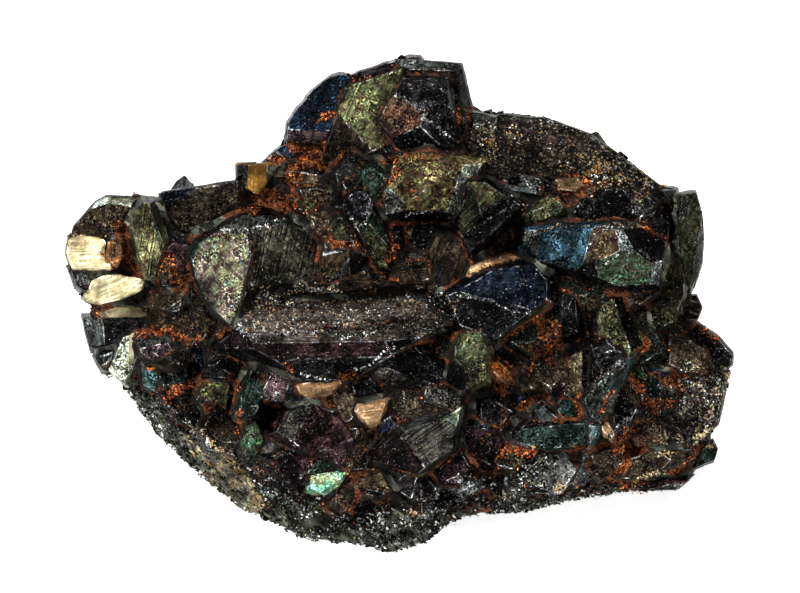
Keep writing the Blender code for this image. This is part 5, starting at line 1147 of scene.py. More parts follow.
def prism(outline, normal, low, high):
    """A flat slab over a polygon, between two heights along its normal, open underneath."""
    mesh = bmesh.new()
    bottom = [mesh.verts.new(corner + normal * low) for corner in outline]
    top = [mesh.verts.new(corner + normal * high) for corner in outline]
    mesh.faces.new(top)
    for index in range(len(outline)):
        following = (index + 1) % len(outline)
        mesh.faces.new((bottom[index], bottom[following], top[following], top[index]))
    bmesh.ops.recalc_face_normals(mesh, faces=mesh.faces)
    return mesh


NET_ROUNDS = 6                        # how often edges are halved at most
NET_SLACK = 1.4                       # how much longer than its measure an edge may stay


def fine_net(mesh, longest):
    """Splits long edges so that colour and relief can vary across a facet."""
    bmesh.ops.triangulate(mesh, faces=mesh.faces)
    for _ in range(NET_ROUNDS):
        long_edges = [edge for edge in mesh.edges if edge.calc_length() > longest * NET_SLACK]
        if not long_edges:
            break
        bmesh.ops.subdivide_edges(mesh, edges=long_edges, cuts=1)
        bmesh.ops.triangulate(mesh, faces=[face for face in mesh.faces if len(face.verts) > 3])


# Where crystals meet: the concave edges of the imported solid.
CREVICE_ANGLE = 0.25                  # how sharply two facets meet in a crevice, in radians
CREVICE_STEP = 0.5                    # distance of the points along it, in mm
CREVICE_REACH = 2.4                   # how far it is felt, in mm
SOLID_WELD = 2e-6                     # corners of the solid closer than this are one, in metres
FRONT_DEPTH = -22.0                   # the rock behind this is out of the photo's sight, in mm
SPOT_FALL = 0.8                       # how much of a spot's value is lost at its radius
RUST_CREVICE = (0.74, 0.36)           # how rusty a crevice is: anywhere, and more near a rusty spot
RUST_AROUND = 0.20                    # the same outside crevices, near a spot
RUST_SEAM = 0.75                      # the same on a seam


def concave_points(solid):
    """Points along the solid's concave edges in face coordinates, the ways out of them and their tree."""
    mesh = bmesh.new()
    mesh.from_mesh(solid.data)
    bmesh.ops.remove_doubles(mesh, verts=mesh.verts, dist=SOLID_WELD)
    points = []
    outward = []
    for edge in mesh.edges:
        if len(edge.link_faces) == 2 and not edge.is_convex and edge.calc_face_angle(0.0) > CREVICE_ANGLE:
            start, end = (BACK @ v.co for v in edge.verts)
            between = (edge.link_faces[0].normal + edge.link_faces[1].normal).normalized()
            steps = max(1, int((end - start).length / CREVICE_STEP))
            points.extend(start.lerp(end, (k + 0.5) / steps) for k in range(steps))
            outward.extend([(BACK.to_3x3() @ between).normalized()] * steps)
    mesh.free()
    tree = KDTree(len(points))
    for index, point in enumerate(points):
        tree.insert(point, index)
    tree.balance()
    return points, outward, tree


CREVICES, CREVICE_NORMALS, CREVICE_TREE = concave_points(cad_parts["specimen"])


def crevice(point):
    """1 in a crevice, falling to 0 at some distance from it."""
    _, _, distance = CREVICE_TREE.find(Vector(point))
    return max(0.0, 1.0 - distance / CREVICE_REACH)


def spot_value(point, spots):
    """How near a point of the face lies to one of the spots: 1 in the middle, 0 outside."""
    best = 0.0
    for a, b, radius in spots:
        best = max(best, 1.0 - SPOT_FALL * math.hypot(point[0] - a, point[1] - b) / radius)
    return best


def seam_tree():
    """A search tree of points along the rusty seams, in the plane of the face, and each one's width."""
    points = []
    for kind, width, line in SEAMS:
        if kind in ("rust", "red", "stain"):
            for start, end in zip(line, line[1:]):
                steps = max(1, round(math.dist(start, end) / CREVICE_STEP))
                points += [(Vector((*start, 0.0)).lerp(Vector((*end, 0.0)), k / steps), width)
                           for k in range(steps + 1)]
    tree = KDTree(len(points))
    for index, (place, _) in enumerate(points):
        tree.insert(place, index)
    tree.balance()
    return tree, [width for _, width in points]


SEAM_TREE, SEAM_WIDTHS = seam_tree()


def seam_value(point):
    """How near a point of the face lies to a rusty seam: 1 on it, 0 at its width."""
    if point[2] < FRONT_DEPTH:
        return 0.0
    _, index, distance = SEAM_TREE.find(Vector((point[0], point[1], 0.0)))
    return max(0.0, 1.0 - distance / SEAM_WIDTHS[index])


def rustiness(point):
    """How rusty a crystal is at a point: most in crevices, near the rusty spots and on the seams."""
    near = spot_value(point, RUST_SPOTS)
    anywhere, nearby = RUST_CREVICE
    between = crevice(point) * (anywhere + nearby * near) + RUST_AROUND * near
    return max(between, RUST_SEAM * seam_value(point))


class Nodes:
    """A small helper that adds and joins shader nodes."""

    def __init__(self, name):
        self.material = bpy.data.materials.new(name)
        self.material.use_nodes = True
        self.tree = self.material.node_tree
        self.shader = self.tree.nodes["Principled BSDF"]

    def add(self, kind, **settings):
        """A new node with these settings."""
        node = self.tree.nodes.new(kind)
        for key, value in settings.items():
            setattr(node, key, value)
        return node

    def feed(self, socket, value):
        """Joins an output to a socket, or sets the socket to a plain value."""
        if isinstance(value, bpy.types.NodeSocket):
            self.tree.links.new(value, socket)
        else:
            socket.default_value = value

    def maths(self, operation, *values, clamp=False):
        """One calculation with outputs or plain numbers."""
        node = self.add("ShaderNodeMath", operation=operation, use_clamp=clamp)
        for socket, value in zip(node.inputs, values):
            self.feed(socket, value)
        return node.outputs[0]

    def attribute(self, name, output="Color"):
        """A value that the mesh carries."""
        return self.add("ShaderNodeAttribute", attribute_name=name).outputs[output]

    def millimetres(self):
        """Coordinates in millimetres."""
        place = self.add("ShaderNodeTexCoord").outputs["Object"]
        scale = self.add("ShaderNodeVectorMath", operation="MULTIPLY")
        self.feed(scale.inputs[0], place)
        scale.inputs[1].default_value = [1.0 / MM] * 3
        return scale.outputs[0]

    def drawn_out(self, way, times):
        """Millimetre coordinates in which a pattern is this many times longer along one way."""
        place = self.millimetres()
        along = self.add("ShaderNodeVectorMath", operation="DOT_PRODUCT")
        self.feed(along.inputs[0], place)
        along.inputs[1].default_value = way
        part = self.add("ShaderNodeVectorMath", operation="SCALE")
        part.inputs[0].default_value = way
        self.feed(part.inputs["Scale"], self.maths("MULTIPLY", along.outputs["Value"], 1.0 - 1.0 / times))
        rest = self.add("ShaderNodeVectorMath", operation="SUBTRACT")
        self.feed(rest.inputs[0], place)
        self.feed(rest.inputs[1], part.outputs[0])
        return rest.outputs[0]

    def cloud(self, size, detail=4.0, roughness=0.55, distortion=0.0, place=None):
        """Cloudy noise whose lumps have this size, in mm."""
        node = self.add("ShaderNodeTexNoise", noise_dimensions="3D")
        self.feed(node.inputs["Vector"], place or self.millimetres())
        node.inputs["Scale"].default_value = 1.0 / size
        node.inputs["Detail"].default_value = detail
        node.inputs["Roughness"].default_value = roughness
        node.inputs["Distortion"].default_value = distortion
        return node.outputs["Fac"]

    def ramp(self, value, low, high, start=0.0, end=1.0):
        """A smooth step from start to end, while the value goes from low to high."""
        node = self.add("ShaderNodeMapRange", interpolation_type="SMOOTHSTEP")
        for socket, number in zip(node.inputs[:5], (value, low, high, start, end)):
            self.feed(socket, number)
        return node.outputs[0]

    def mix(self, amount, first, second):
        """A colour from the first at 0 to the second at 1."""
        node = self.add("ShaderNodeMix", data_type="RGBA", blend_type="MIX")
        for socket, value in zip((node.inputs[0], node.inputs[6], node.inputs[7]), (amount, first, second)):
            self.feed(socket, value)
        return node.outputs[2]

    def bump(self, height, strength, distance):
        """A normal that follows this height; the distance is in metres."""
        node = self.add("ShaderNodeBump")
        node.inputs["Strength"].default_value = strength
        node.inputs["Distance"].default_value = distance
        self.feed(node.inputs["Height"], height)
        return node.outputs[0]


# The first colour is that of painted highlights, white specks on metallic facets; the others are rust and
# dust colours.
PAINTED_GLINT = (0.750, 0.760, 0.720, 1.0)
DUST = (0.020, 0.012, 0.007, 1.0)
RUST_DEEP = (0.085, 0.020, 0.008, 1.0)
RUST_BRIGHT = (0.520, 0.170, 0.045, 1.0)
RUST_PALE = (0.420, 0.250, 0.100, 1.0)


def crystal_material():
    """Tarnished metallic crystal, mottled, lined and rusty towards the crevices."""
    made = Nodes("tarnished_crystal")
    finish = made.add("ShaderNodeSeparateColor")
    made.feed(finish.inputs[0], made.attribute("finish"))
    roughness, metallic, play = finish.outputs[0], finish.outputs[1], finish.outputs[2]
    depth = made.attribute("finish", "Alpha")
    broad = made.cloud(3.2, detail=5.0, roughness=0.6, distortion=0.6)
    fine = made.cloud(0.8, detail=6.0, roughness=0.68)
    speck = made.cloud(0.42, detail=4.0, roughness=0.65)
    colour = made.mix(made.ramp(broad, 0.42, 0.60), made.attribute("ground"), made.attribute("mottle"))
    colour = made.mix(made.ramp(fine, 0.54, 0.66), colour, made.attribute("patch"))
    # tarnish: the hue wanders over the facet
    hue_cloud = made.cloud(1.2, detail=5.0, roughness=0.62, distortion=0.5)
    hue = made.add("ShaderNodeHueSaturation")
    swing = made.maths("MULTIPLY", play, 1.9)
    wander = made.maths("MULTIPLY", made.maths("SUBTRACT", hue_cloud, 0.5), swing)
    made.feed(hue.inputs["Hue"], made.maths("ADD", wander, 0.5))
    made.feed(hue.inputs["Color"], colour)
    colour = hue.outputs[0]
    # growth lines
    lines = made.attribute("lines", "Fac")
    stripe = made.add("ShaderNodeTexNoise", noise_dimensions="1D")
    made.feed(stripe.inputs["W"], lines)
    stripe.inputs["Scale"].default_value = 1.7
    stripe.inputs["Detail"].default_value = 4.0
    stripe.inputs["Roughness"].default_value = 0.75
    broken = made.ramp(made.cloud(2.4, detail=3.0), 0.38, 0.62)
    stripe_value = made.ramp(stripe.outputs["Fac"], 0.36, 0.66)
    lined = made.maths("MULTIPLY", depth, broken)
    shade = made.maths("MULTIPLY", made.maths("SUBTRACT", stripe_value, 0.55), lined)
    level = made.maths("ADD", made.maths("MULTIPLY", shade, 2.8), 1.0)
    level = made.maths("MAXIMUM", level, 0.15)
    grainy = made.ramp(made.cloud(4.5, detail=3.0, distortion=0.8), 0.40, 0.62, 0.15, 1.0)
    grainy = made.maths("MULTIPLY", grainy, made.ramp(metallic, 0.0, 0.4, 0.15, 1.0))
    grainy = made.maths("MULTIPLY", grainy, made.ramp(depth, 0.3, 1.0, 1.0, 0.35))
    grain = made.maths("SUBTRACT", made.ramp(speck, 0.46, 0.66, 0.00, 6.00), 1.0)
    level = made.maths("MULTIPLY", level, made.maths("ADD", made.maths("MULTIPLY", grain, grainy), 1.0))
    waver = made.maths("MULTIPLY", made.ramp(hue_cloud, 0.38, 0.62, -0.70, 0.75),
                       made.ramp(metallic, 0.0, 0.4, 0.3, 1.0))
    level = made.maths("MULTIPLY", level, made.maths("ADD", waver, 1.0))
    sweep = made.cloud(8.0, detail=2.0, roughness=0.5)
    level = made.maths("MULTIPLY", level, made.ramp(sweep, 0.38, 0.62, 0.32, 1.75))
    bright = made.add("ShaderNodeVectorMath", operation="SCALE")
    made.feed(bright.inputs[0], colour)
    made.feed(bright.inputs["Scale"], level)
    colour = bright.outputs[0]
    # painted highlight: tiny white specks mixed into the base colour of metallic facets
    painted_glint = made.ramp(made.cloud(0.30, detail=2.0, roughness=0.5), 0.69, 0.74)
    colour = made.mix(made.maths("MULTIPLY", painted_glint, metallic), colour, PAINTED_GLINT)
    # rust and brown dust in the crevices
    rust = made.attribute("rust", "Fac")
    ragged = made.maths("ADD", made.maths("MULTIPLY", made.maths("SUBTRACT", fine, 0.5), 1.8),
                        made.maths("MULTIPLY", made.maths("SUBTRACT", speck, 0.5), 0.9))
    dusty = made.ramp(made.maths("ADD", rust, ragged), 0.55, 0.85)
    rusty = made.ramp(made.maths("ADD", rust, made.maths("SUBTRACT", hue_cloud, 0.5)), 0.50, 0.90)
    dust_colour = made.mix(rusty, DUST, RUST_DEEP)
    lit = made.maths("MULTIPLY", made.ramp(speck, 0.46, 0.62), rusty)
    dust_colour = made.mix(lit, dust_colour, RUST_BRIGHT)
    dust_colour = made.mix(made.ramp(speck, 0.62, 0.72), dust_colour, RUST_PALE)
    colour = made.mix(dusty, colour, dust_colour)
    made.feed(made.shader.inputs["Base Color"], colour)
    rough = made.maths("ADD", roughness, made.ramp(fine, 0.35, 0.7, -0.14, 0.12))
    rough = made.maths("ADD", rough, made.maths("MULTIPLY", dusty, 0.4), clamp=True)
    made.feed(made.shader.inputs["Roughness"], rough)
    clean = made.maths("SUBTRACT", 1.0, dusty, clamp=True)
    made.feed(made.shader.inputs["Metallic"], made.maths("MULTIPLY", metallic, clean))
    height = made.maths("MULTIPLY", stripe_value, made.maths("MULTIPLY", depth, broken))
    height = made.maths("ADD", height, made.maths("MULTIPLY", fine, 1.6))
    height = made.maths("ADD", height, made.maths("MULTIPLY", speck, 0.4))
    height = made.maths("ADD", height, made.maths("MULTIPLY", dusty, 0.8))
    made.feed(made.shader.inputs["Normal"], made.bump(height, 0.7, 0.00022))
    made.shader.inputs["Specular IOR Level"].default_value = 0.12
    made.shader.inputs["Specular Tint"].default_value = (0.3, 0.3, 0.3, 1.0)
    return made.material


ROCK_GRAIN = (0.84, -0.54, 0.0)       # the way the streaks of the rock run on the face


def crust_material():
    """Broken ore: black grains with brown, green and cream ones, and rust."""
    made = Nodes("broken_ore")
    streaks = made.drawn_out((face_to_part().to_3x3() @ Vector(ROCK_GRAIN)).normalized(), 4.0)
    broad = made.cloud(7.0, detail=6.0, roughness=0.6, distortion=0.4, place=streaks)
    medium = made.cloud(1.3, detail=6.0, roughness=0.62, place=streaks)
    fine = made.cloud(0.35, detail=4.0, roughness=0.65, place=streaks)
    cells = made.add("ShaderNodeTexVoronoi", voronoi_dimensions="3D", feature="F1")
    made.feed(cells.inputs["Vector"], streaks)
    cells.inputs["Scale"].default_value = 1.1
    grain = made.add("ShaderNodeSeparateColor")
    made.feed(grain.inputs[0], cells.outputs["Color"])
    colour = made.mix(made.ramp(broad, 0.40, 0.62), (0.012, 0.013, 0.011, 1.0), (0.060, 0.064, 0.048, 1.0))
    colour = made.mix(made.ramp(grain.outputs[0], 0.55, 0.60), colour, (0.095, 0.105, 0.080, 1.0))
    colour = made.mix(made.ramp(grain.outputs[1], 0.82, 0.86), colour, (0.210, 0.205, 0.150, 1.0))
    colour = made.mix(made.ramp(medium, 0.56, 0.70), colour, (0.012, 0.010, 0.008, 1.0))
    shadow = made.ramp(made.attribute("shadow", "Fac"), 0.05, 0.45)
    colour = made.mix(shadow, colour, (0.008, 0.007, 0.006, 1.0))
    rust = made.attribute("rust", "Fac")
    stain = made.ramp(made.maths("ADD", rust, made.maths("SUBTRACT", medium, 0.5)), 0.35, 0.70)
    rust_colour = made.mix(made.ramp(fine, 0.46, 0.70),
                           (0.056, 0.015, 0.007, 1.0), (0.400, 0.120, 0.034, 1.0))
    colour = made.mix(stain, colour, rust_colour)
    pale = made.attribute("pale", "Fac")
    broken = made.maths("MULTIPLY", made.maths("SUBTRACT", medium, 0.5), 2.0)
    chalk = made.ramp(made.maths("ADD", pale, broken), 0.60, 0.95)
    chalk_colour = made.mix(made.ramp(fine, 0.35, 0.65),
                            (0.260, 0.220, 0.140, 1.0), (0.560, 0.500, 0.370, 1.0))
    colour = made.mix(chalk, colour, chalk_colour)
    made.feed(made.shader.inputs["Base Color"], colour)
    made.feed(made.shader.inputs["Roughness"], made.ramp(fine, 0.3, 0.7, 0.42, 0.85))
    made.feed(made.shader.inputs["Metallic"],
              made.maths("MULTIPLY", made.ramp(grain.outputs[2], 0.45, 0.5, 0.1, 0.55),
                         made.maths("SUBTRACT", 1.0, made.maths("MAXIMUM", stain, chalk))))
    height = made.maths("ADD", made.maths("MULTIPLY", medium, 1.6), made.maths("MULTIPLY", fine, 0.8))
    height = made.maths("ADD", height, made.maths("MULTIPLY", cells.outputs["Distance"], 0.8))
    made.feed(made.shader.inputs["Normal"], made.bump(height, 0.9, 0.0004))
    made.shader.inputs["Specular IOR Level"].default_value = 0.15
    return made.material


CRUST_VOXEL = 0.92                    # size of the crust's mesh, in mm
CRUST_SMOOTHING = 5                   # rounds of smoothing, which fill the crevices
CRUST_SHRINK = 0.38                   # how far it lies inside the solid, in mm
CRUST_RELIEF = 0.55                   # height of its lumps, in mm
CRUST_LUMPS = ((4.0, 0.6), (1.3, 0.4))    # their size in mm and share
CRUST_FLAT = 0.4                      # what lies lower than this above the floor stays flat, in mm
CRUST_STAIN = (0.62, 0.5, 5.0)        # rust in its crevices: amount, unevenness and patch size in mm


def build_crust(material):
    """The skin of the whole solid: rock where no crystal covers it, and the fill of the crevices."""
    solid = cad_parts["specimen"]
    crust = bpy.data.objects.new("crust", solid.data.copy())
    crust.data.materials.clear()
    bpy.context.scene.collection.objects.link(crust)
    remesh = crust.modifiers.new("voxels", "REMESH")
    remesh.mode = "VOXEL"
    remesh.voxel_size = CRUST_VOXEL * MM
    remesh.use_smooth_shade = True
    smooth = crust.modifiers.new("fill", "SMOOTH")
    smooth.factor = 0.5
    smooth.iterations = CRUST_SMOOTHING
    graph = bpy.context.evaluated_depsgraph_get()
    data = bpy.data.meshes.new_from_object(crust.evaluated_get(graph))
    crust.modifiers.clear()
    crust.data = data
    floor_level = cad_low.z + CRUST_FLAT * MM
    amount, unevenness, patch = CRUST_STAIN
    rust, pale, shadow, moved = [], [], [], []
    for vertex in data.vertices:
        here = BACK @ vertex.co
        flat_foot = vertex.co.z < floor_level
        lump = sum(noise.noise(here / size) * share for size, share in CRUST_LUMPS)
        relief = (lump * CRUST_RELIEF - CRUST_SHRINK) * MM
        moved.append(vertex.co + vertex.normal * (0.0 if flat_foot else relief))
        stained = crevice(here) * (amount + unevenness * noise.noise(here / patch))
        stained = max(stained, seam_value(here), spot_value(here, RUST_SPOTS))
        rust.append(stained if here.z > FRONT_DEPTH else 0.0)
        pale.append(spot_value(here, PALE_SPOTS) if here.z > FRONT_DEPTH else 0.0)
        shadow.append(crevice(here))
    data.vertices.foreach_set("co", boxed(moved).ravel())
    for key, values in (("rust", rust), ("pale", pale), ("shadow", shadow)):
        data.attributes.new(key, "FLOAT", "POINT").data.foreach_set("value", np.array(values, np.float32))
    data.materials.append(material)
    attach(crust, "root")
    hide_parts("specimen")
    print("piece crust", len(data.polygons), "faces")


GRIT_SHAPES = 24                      # how many different shapes small crystals and grains each have
GRIT_LEAN = 0.5                       # how far a small crystal's top facet leans at most, as a slope
GRIT_TOP = (0.25, 0.6)                # how high it lies, in radii
GRIT_FOOT = 0.7                       # how far down the crystal reaches
GRIT_SIDES = (4, 5, 6)
GRIT_STEEP = (70.0, 90.0)             # how far its sides turn from the axis, in degrees
GRIT_REACH = (0.6, 1.0)               # how far they lie from the axis, in radii
GRIT_SHOULDERS = 2                    # flatter facets beside the top one
SHOULDER_STEEP = (30.0, 50.0)
SHOULDER_REACH = 0.45
GRIT_STRETCH = (0.7, 1.4)             # how much longer one way a crystal or grain is drawn
STREAK_STRETCH = (1.2, 2.6)           # the same along the streaks of the rock
GRAIN_SIZE = 0.5                      # smaller grains have the simple shape, in mm
GRAIN_REACH = (0.7, 1.1)              # how far its corners lie from its middle, in radii
GRAIN_STRAY = 0.3                     # how far they stray sideways
LEAN = 0.9                            # how far grains and small crystals lean at most, as a slope

# Small crystals standing in the crevices
CREVICE_CRYSTALS = 2600
CRYSTAL_SIZES = (0.35, 1.1, 2.2)      # smallest radius, how much more, and how rare large ones are
CRYSTAL_SUNK = 0.2                    # how deep they sit, in radii
RUSTY_CRYSTALS = (0.08, 0.45)         # share of rusty ones: anywhere, and more near a rusty spot

# Rust and dirt grains lying in the crevices
CREVICE_GRAINS = 12500
GRAIN_SIZES = (0.09, 0.24, 1.5)
GRAIN_CHANCE = (0.25, 1.4, 0.9)       # how likely one is: anywhere, near a rusty spot, and in a cloud
GRAIN_CLOUD = 6.0                     # size of such a cloud, in mm
GRAIN_ASIDE = 1.2                     # how far from the way outward they stray, as a slope
GRAIN_FAR = 1.1                       # and how far off, in mm
RUSTY_GRAINS = (0.45, 0.6)

# Grains on bare rock
ROCK_GRAINS = 9000
ROCK_TRIES = 9                        # places tried for each of them
ROCK_SIZES = (0.12, 0.40, 2.0)        # in front
REAR_SIZES = (0.4, 1.2)               # behind: smallest and largest radius
ROCK_LEAN = 0.5
PALE_FROM, RUST_FROM = 0.35, 0.4      # how near a pale or rusty spot they take its tints
ON_CRYSTAL = 0.08                     # a place nearer than this to a crystal's facet lies on it, in mm
REAR_LEFT_OUT = 0.85                  # share of the places behind that get none
ROCK_SUNK = 0.35                      # how deep they sit in the rock, in radii

# Grains along the seams
RAY_START = 80.0                      # they are dropped onto the face from this far out, in mm
SEAM_RARITY = 1.8                     # how rare large ones are
SEAM_LEAST = 0.6                      # narrower seams get as many grains as one of this width, in mm
SEAM_SPREAD = 0.26                    # how far the grains stray from its line, as a share of its width
SEAM_PROUD = 0.12                     # how far they stand off the facet, in mm


def grit_shapes(pick):
    """Small crystal shapes about one unit in radius, as arrays of corners and of triangles."""
    shapes = []
    for _ in range(GRIT_SHAPES):
        aside, upward = (pick.uniform(-GRIT_LEAN, GRIT_LEAN) for _ in range(2))
        lean = Vector((aside, upward, 1.0)).normalized()
        planes = [(Vector((0.0, 0.0, pick.uniform(*GRIT_TOP))), lean)]
        start = pick.uniform(0.0, 360.0)
        sides = pick.choice(GRIT_SIDES)
        for side in range(sides + GRIT_SHOULDERS):
            angle = math.radians(start + 360.0 * side / sides)
            radial = Vector((math.cos(angle), math.sin(angle), 0.0))
            polar = math.radians(pick.uniform(*(GRIT_STEEP if side < sides else SHOULDER_STEEP)))
            reach = pick.uniform(*GRIT_REACH) if side < sides else SHOULDER_REACH
            planes.append((radial * reach, radial * math.sin(polar) + Vector((0.0, 0.0, math.cos(polar)))))
        planes.append((Vector((0.0, 0.0, -GRIT_FOOT)), Vector((0.0, 0.0, -1.0))))
        mesh = cut_block(planes)
        bmesh.ops.triangulate(mesh, faces=mesh.faces)
        mesh.verts.index_update()
        corners = np.array([tuple(v.co) for v in mesh.verts])
        shapes.append((corners, np.array([[v.index for v in face.verts] for face in mesh.faces])))
        mesh.free()
    return shapes


def grain_shapes(pick):
    """Uneven grains of eight facets, for the smallest ones."""
    facets = [(0, 2, 4), (2, 1, 4), (1, 3, 4), (3, 0, 4), (2, 0, 5), (1, 2, 5), (3, 1, 5), (0, 3, 5)]
    corners = [(1.0, 0.0, 0.0), (-1.0, 0.0, 0.0), (0.0, 1.0, 0.0),
               (0.0, -1.0, 0.0), (0.0, 0.0, 1.0), (0.0, 0.0, -1.0)]
    shapes = []
    for _ in range(GRIT_SHAPES):
        moved = [[c * pick.uniform(*GRAIN_REACH) + pick.uniform(-GRAIN_STRAY, GRAIN_STRAY) for c in corner]
                 for corner in corners]
        shapes.append((np.array(moved), np.array(facets)))
    return shapes


def scatter(name, spots, pick, material, streaky=False):
    """One piece made of a small crystal at each spot, drawn out along the streaks of the rock or not."""
    large, small = grit_shapes(pick), grain_shapes(pick)
    verts, faces, values, lines = [], [], {key: [] for key in LAYERS}, []
    count = 0
    for spot in spots:
        corners, triangles = pick.choice(large if spot.size > GRAIN_SIZE else small)
        axis = spot.axis.normalized()
        if streaky:
            across = axis.cross(Vector(ROCK_GRAIN)).cross(axis).normalized()
        else:
            across = axis.orthogonal().normalized()
            across.rotate(Matrix.Rotation(pick.uniform(0.0, math.tau), 3, axis))
        frame_rows = np.array([across, axis.cross(across), axis]) * spot.size
        frame_rows[0] *= pick.uniform(*(STREAK_STRETCH if streaky else GRIT_STRETCH))
        placed = corners @ frame_rows + np.array(spot.place)
        verts.append(placed)
        faces.append(triangles + count)
        count += len(placed)
        row = colour_row(spot.tint, pick)
        for key in LAYERS:
            values[key].append(np.tile(row[key], (len(triangles), 1)))
        lines.append((placed @ np.array(across))[triangles].ravel())
    verts = np.concatenate(verts)
    turned = verts @ np.array(PLACE.to_3x3()).T + np.array(PLACE.translation)
    data = bpy.data.meshes.new(name)
    data.from_pydata(boxed(turned).tolist(), [], np.concatenate(faces).tolist())
    for key in LAYERS:
        layer = data.attributes.new(key, "FLOAT_COLOR", "FACE")
        layer.data.foreach_set("color", np.concatenate(values[key]).astype(np.float32).ravel())
    data.attributes.new("lines", "FLOAT", "CORNER").data.foreach_set(
        "value", np.concatenate(lines).astype(np.float32))
    dressed(name, data, material)


def tilted(axis, pick, most):
    """A direction up to some way off another one."""
    return (axis + Vector([pick.uniform(-most, most) for _ in range(3)])).normalized()


def any_size(pick, smallest, more, rarity):
    """A size from the smallest up to that much more; the higher the rarity, the fewer large ones."""
    return smallest + more * pick.random() ** rarity


RUST_TINTS = ("ember", "redbrown", "redbrown", "brown", "rust", "redbrown", "darkbrown")
DARK_TINTS = ("black", "darkbrown", "black", "charcoal", "darkgreen", "brown", "plum", "darkolive")
ROCK_TINTS = ("silver", "charcoal", "moss", "black", "steel",
              "darkbrown", "silver", "black", "moss", "white")
PALE_TINTS = ("cream", "tan", "cream", "steel", "brown")
SEAM_TINTS = {
    "rust": ("rust", "redbrown", "ember", "redbrown", "ember", "darkbrown"),
    "red": ("redbrown", "ember", "redbrown", "plum", "black"),
    "speckled": ("white", "tan", "brown", "black", "white", "brown", "silver", "cream"),
    # silver: partly the silvery colour of broken edges, partly painted highlight
    "silver": ("silver", "white", "steel", "black"),
    "tan": ("tan", "cream", "brown"),
    "grit": ("silver", "steel", "moss", "black", "white", "silver"),
    "cream": ("cream", "cream", "tan"),
    "gold": ("cream", "amber", "white", "tan", "black", "charcoal"),
}
# How many grains a seam has for each square millimetre, and their smallest and largest size in mm.
SEAM_GRAINS = {
    "speckled": (4.8, 0.09, 0.32),
    "rust": (12.0, 0.08, 0.30),
    "red": (9.0, 0.08, 0.28),
    "silver": (16.0, 0.10, 0.34),
    "tan": (9.0, 0.10, 0.25),
    "grit": (5.0, 0.15, 0.45),
    "cream": (8.0, 0.10, 0.36),
    "gold": (5.0, 0.10, 0.34),
}


def seam_grains(pick):
    """Grains along the seams: rust, broken silvery edges partly drawn as painted highlight, cream and
    gold-coloured patches.
    """
    spots = []
    for kind, width, points in SEAMS:
        if kind == "stain":
            continue
        density, small, large = SEAM_GRAINS[kind]
        for start, end in zip(points, points[1:]):
            length = math.dist(start, end)
            for _ in range(round(density * max(width, SEAM_LEAST) * length)):
                along = pick.random()
                aside = pick.gauss(0.0, width * SEAM_SPREAD)
                a = start[0] + (end[0] - start[0]) * along + (end[1] - start[1]) / length * aside
                b = start[1] + (end[1] - start[1]) * along - (end[0] - start[0]) / length * aside
                place, axis, _, _ = SKIN.ray_cast(Vector((a, b, RAY_START)), Vector((0.0, 0.0, -1.0)))
                if place is None:
                    continue
                size = any_size(pick, small, large - small, SEAM_RARITY)
                spots.append(Spot(place + axis * SEAM_PROUD, tilted(axis, pick, LEAN), size,
                                  pick.choice(SEAM_TINTS[kind])))
    return spots


def crevice_crystals(pick):
    """Small crystals crowded in the crevices between the large ones."""
    spots = []
    for _ in range(CREVICE_CRYSTALS):
        index = pick.randrange(len(CREVICES))
        place, axis = CREVICES[index], CREVICE_NORMALS[index]
        size = any_size(pick, *CRYSTAL_SIZES)
        anywhere, nearby = RUSTY_CRYSTALS
        rusty = pick.random() < anywhere + nearby * spot_value(place, RUST_SPOTS)
        seat = place - axis * size * CRYSTAL_SUNK
        tints = RUST_TINTS if rusty else DARK_TINTS
        spots.append(Spot(seat, tilted(axis, pick, LEAN), size, pick.choice(tints)))
    return spots


def crevice_grains(pick):
    """Fine rust and dirt that fills the crevices."""
    spots = []
    while len(spots) < CREVICE_GRAINS:
        index = pick.randrange(len(CREVICES))
        place, axis = CREVICES[index], CREVICE_NORMALS[index]
        near = spot_value(place, RUST_SPOTS)
        anywhere, nearby, cloudy = GRAIN_CHANCE
        if pick.random() > anywhere + nearby * near + cloudy * noise.noise(place / GRAIN_CLOUD):
            continue
        size = any_size(pick, *GRAIN_SIZES)
        beside = tilted(axis, pick, GRAIN_ASIDE) * pick.uniform(0.0, GRAIN_FAR)
        anywhere, nearby = RUSTY_GRAINS
        rusty = pick.random() < anywhere + nearby * near
        tints = RUST_TINTS if rusty else DARK_TINTS
        spots.append(Spot(place + beside, tilted(axis, pick, LEAN), size, pick.choice(tints)))
    return spots


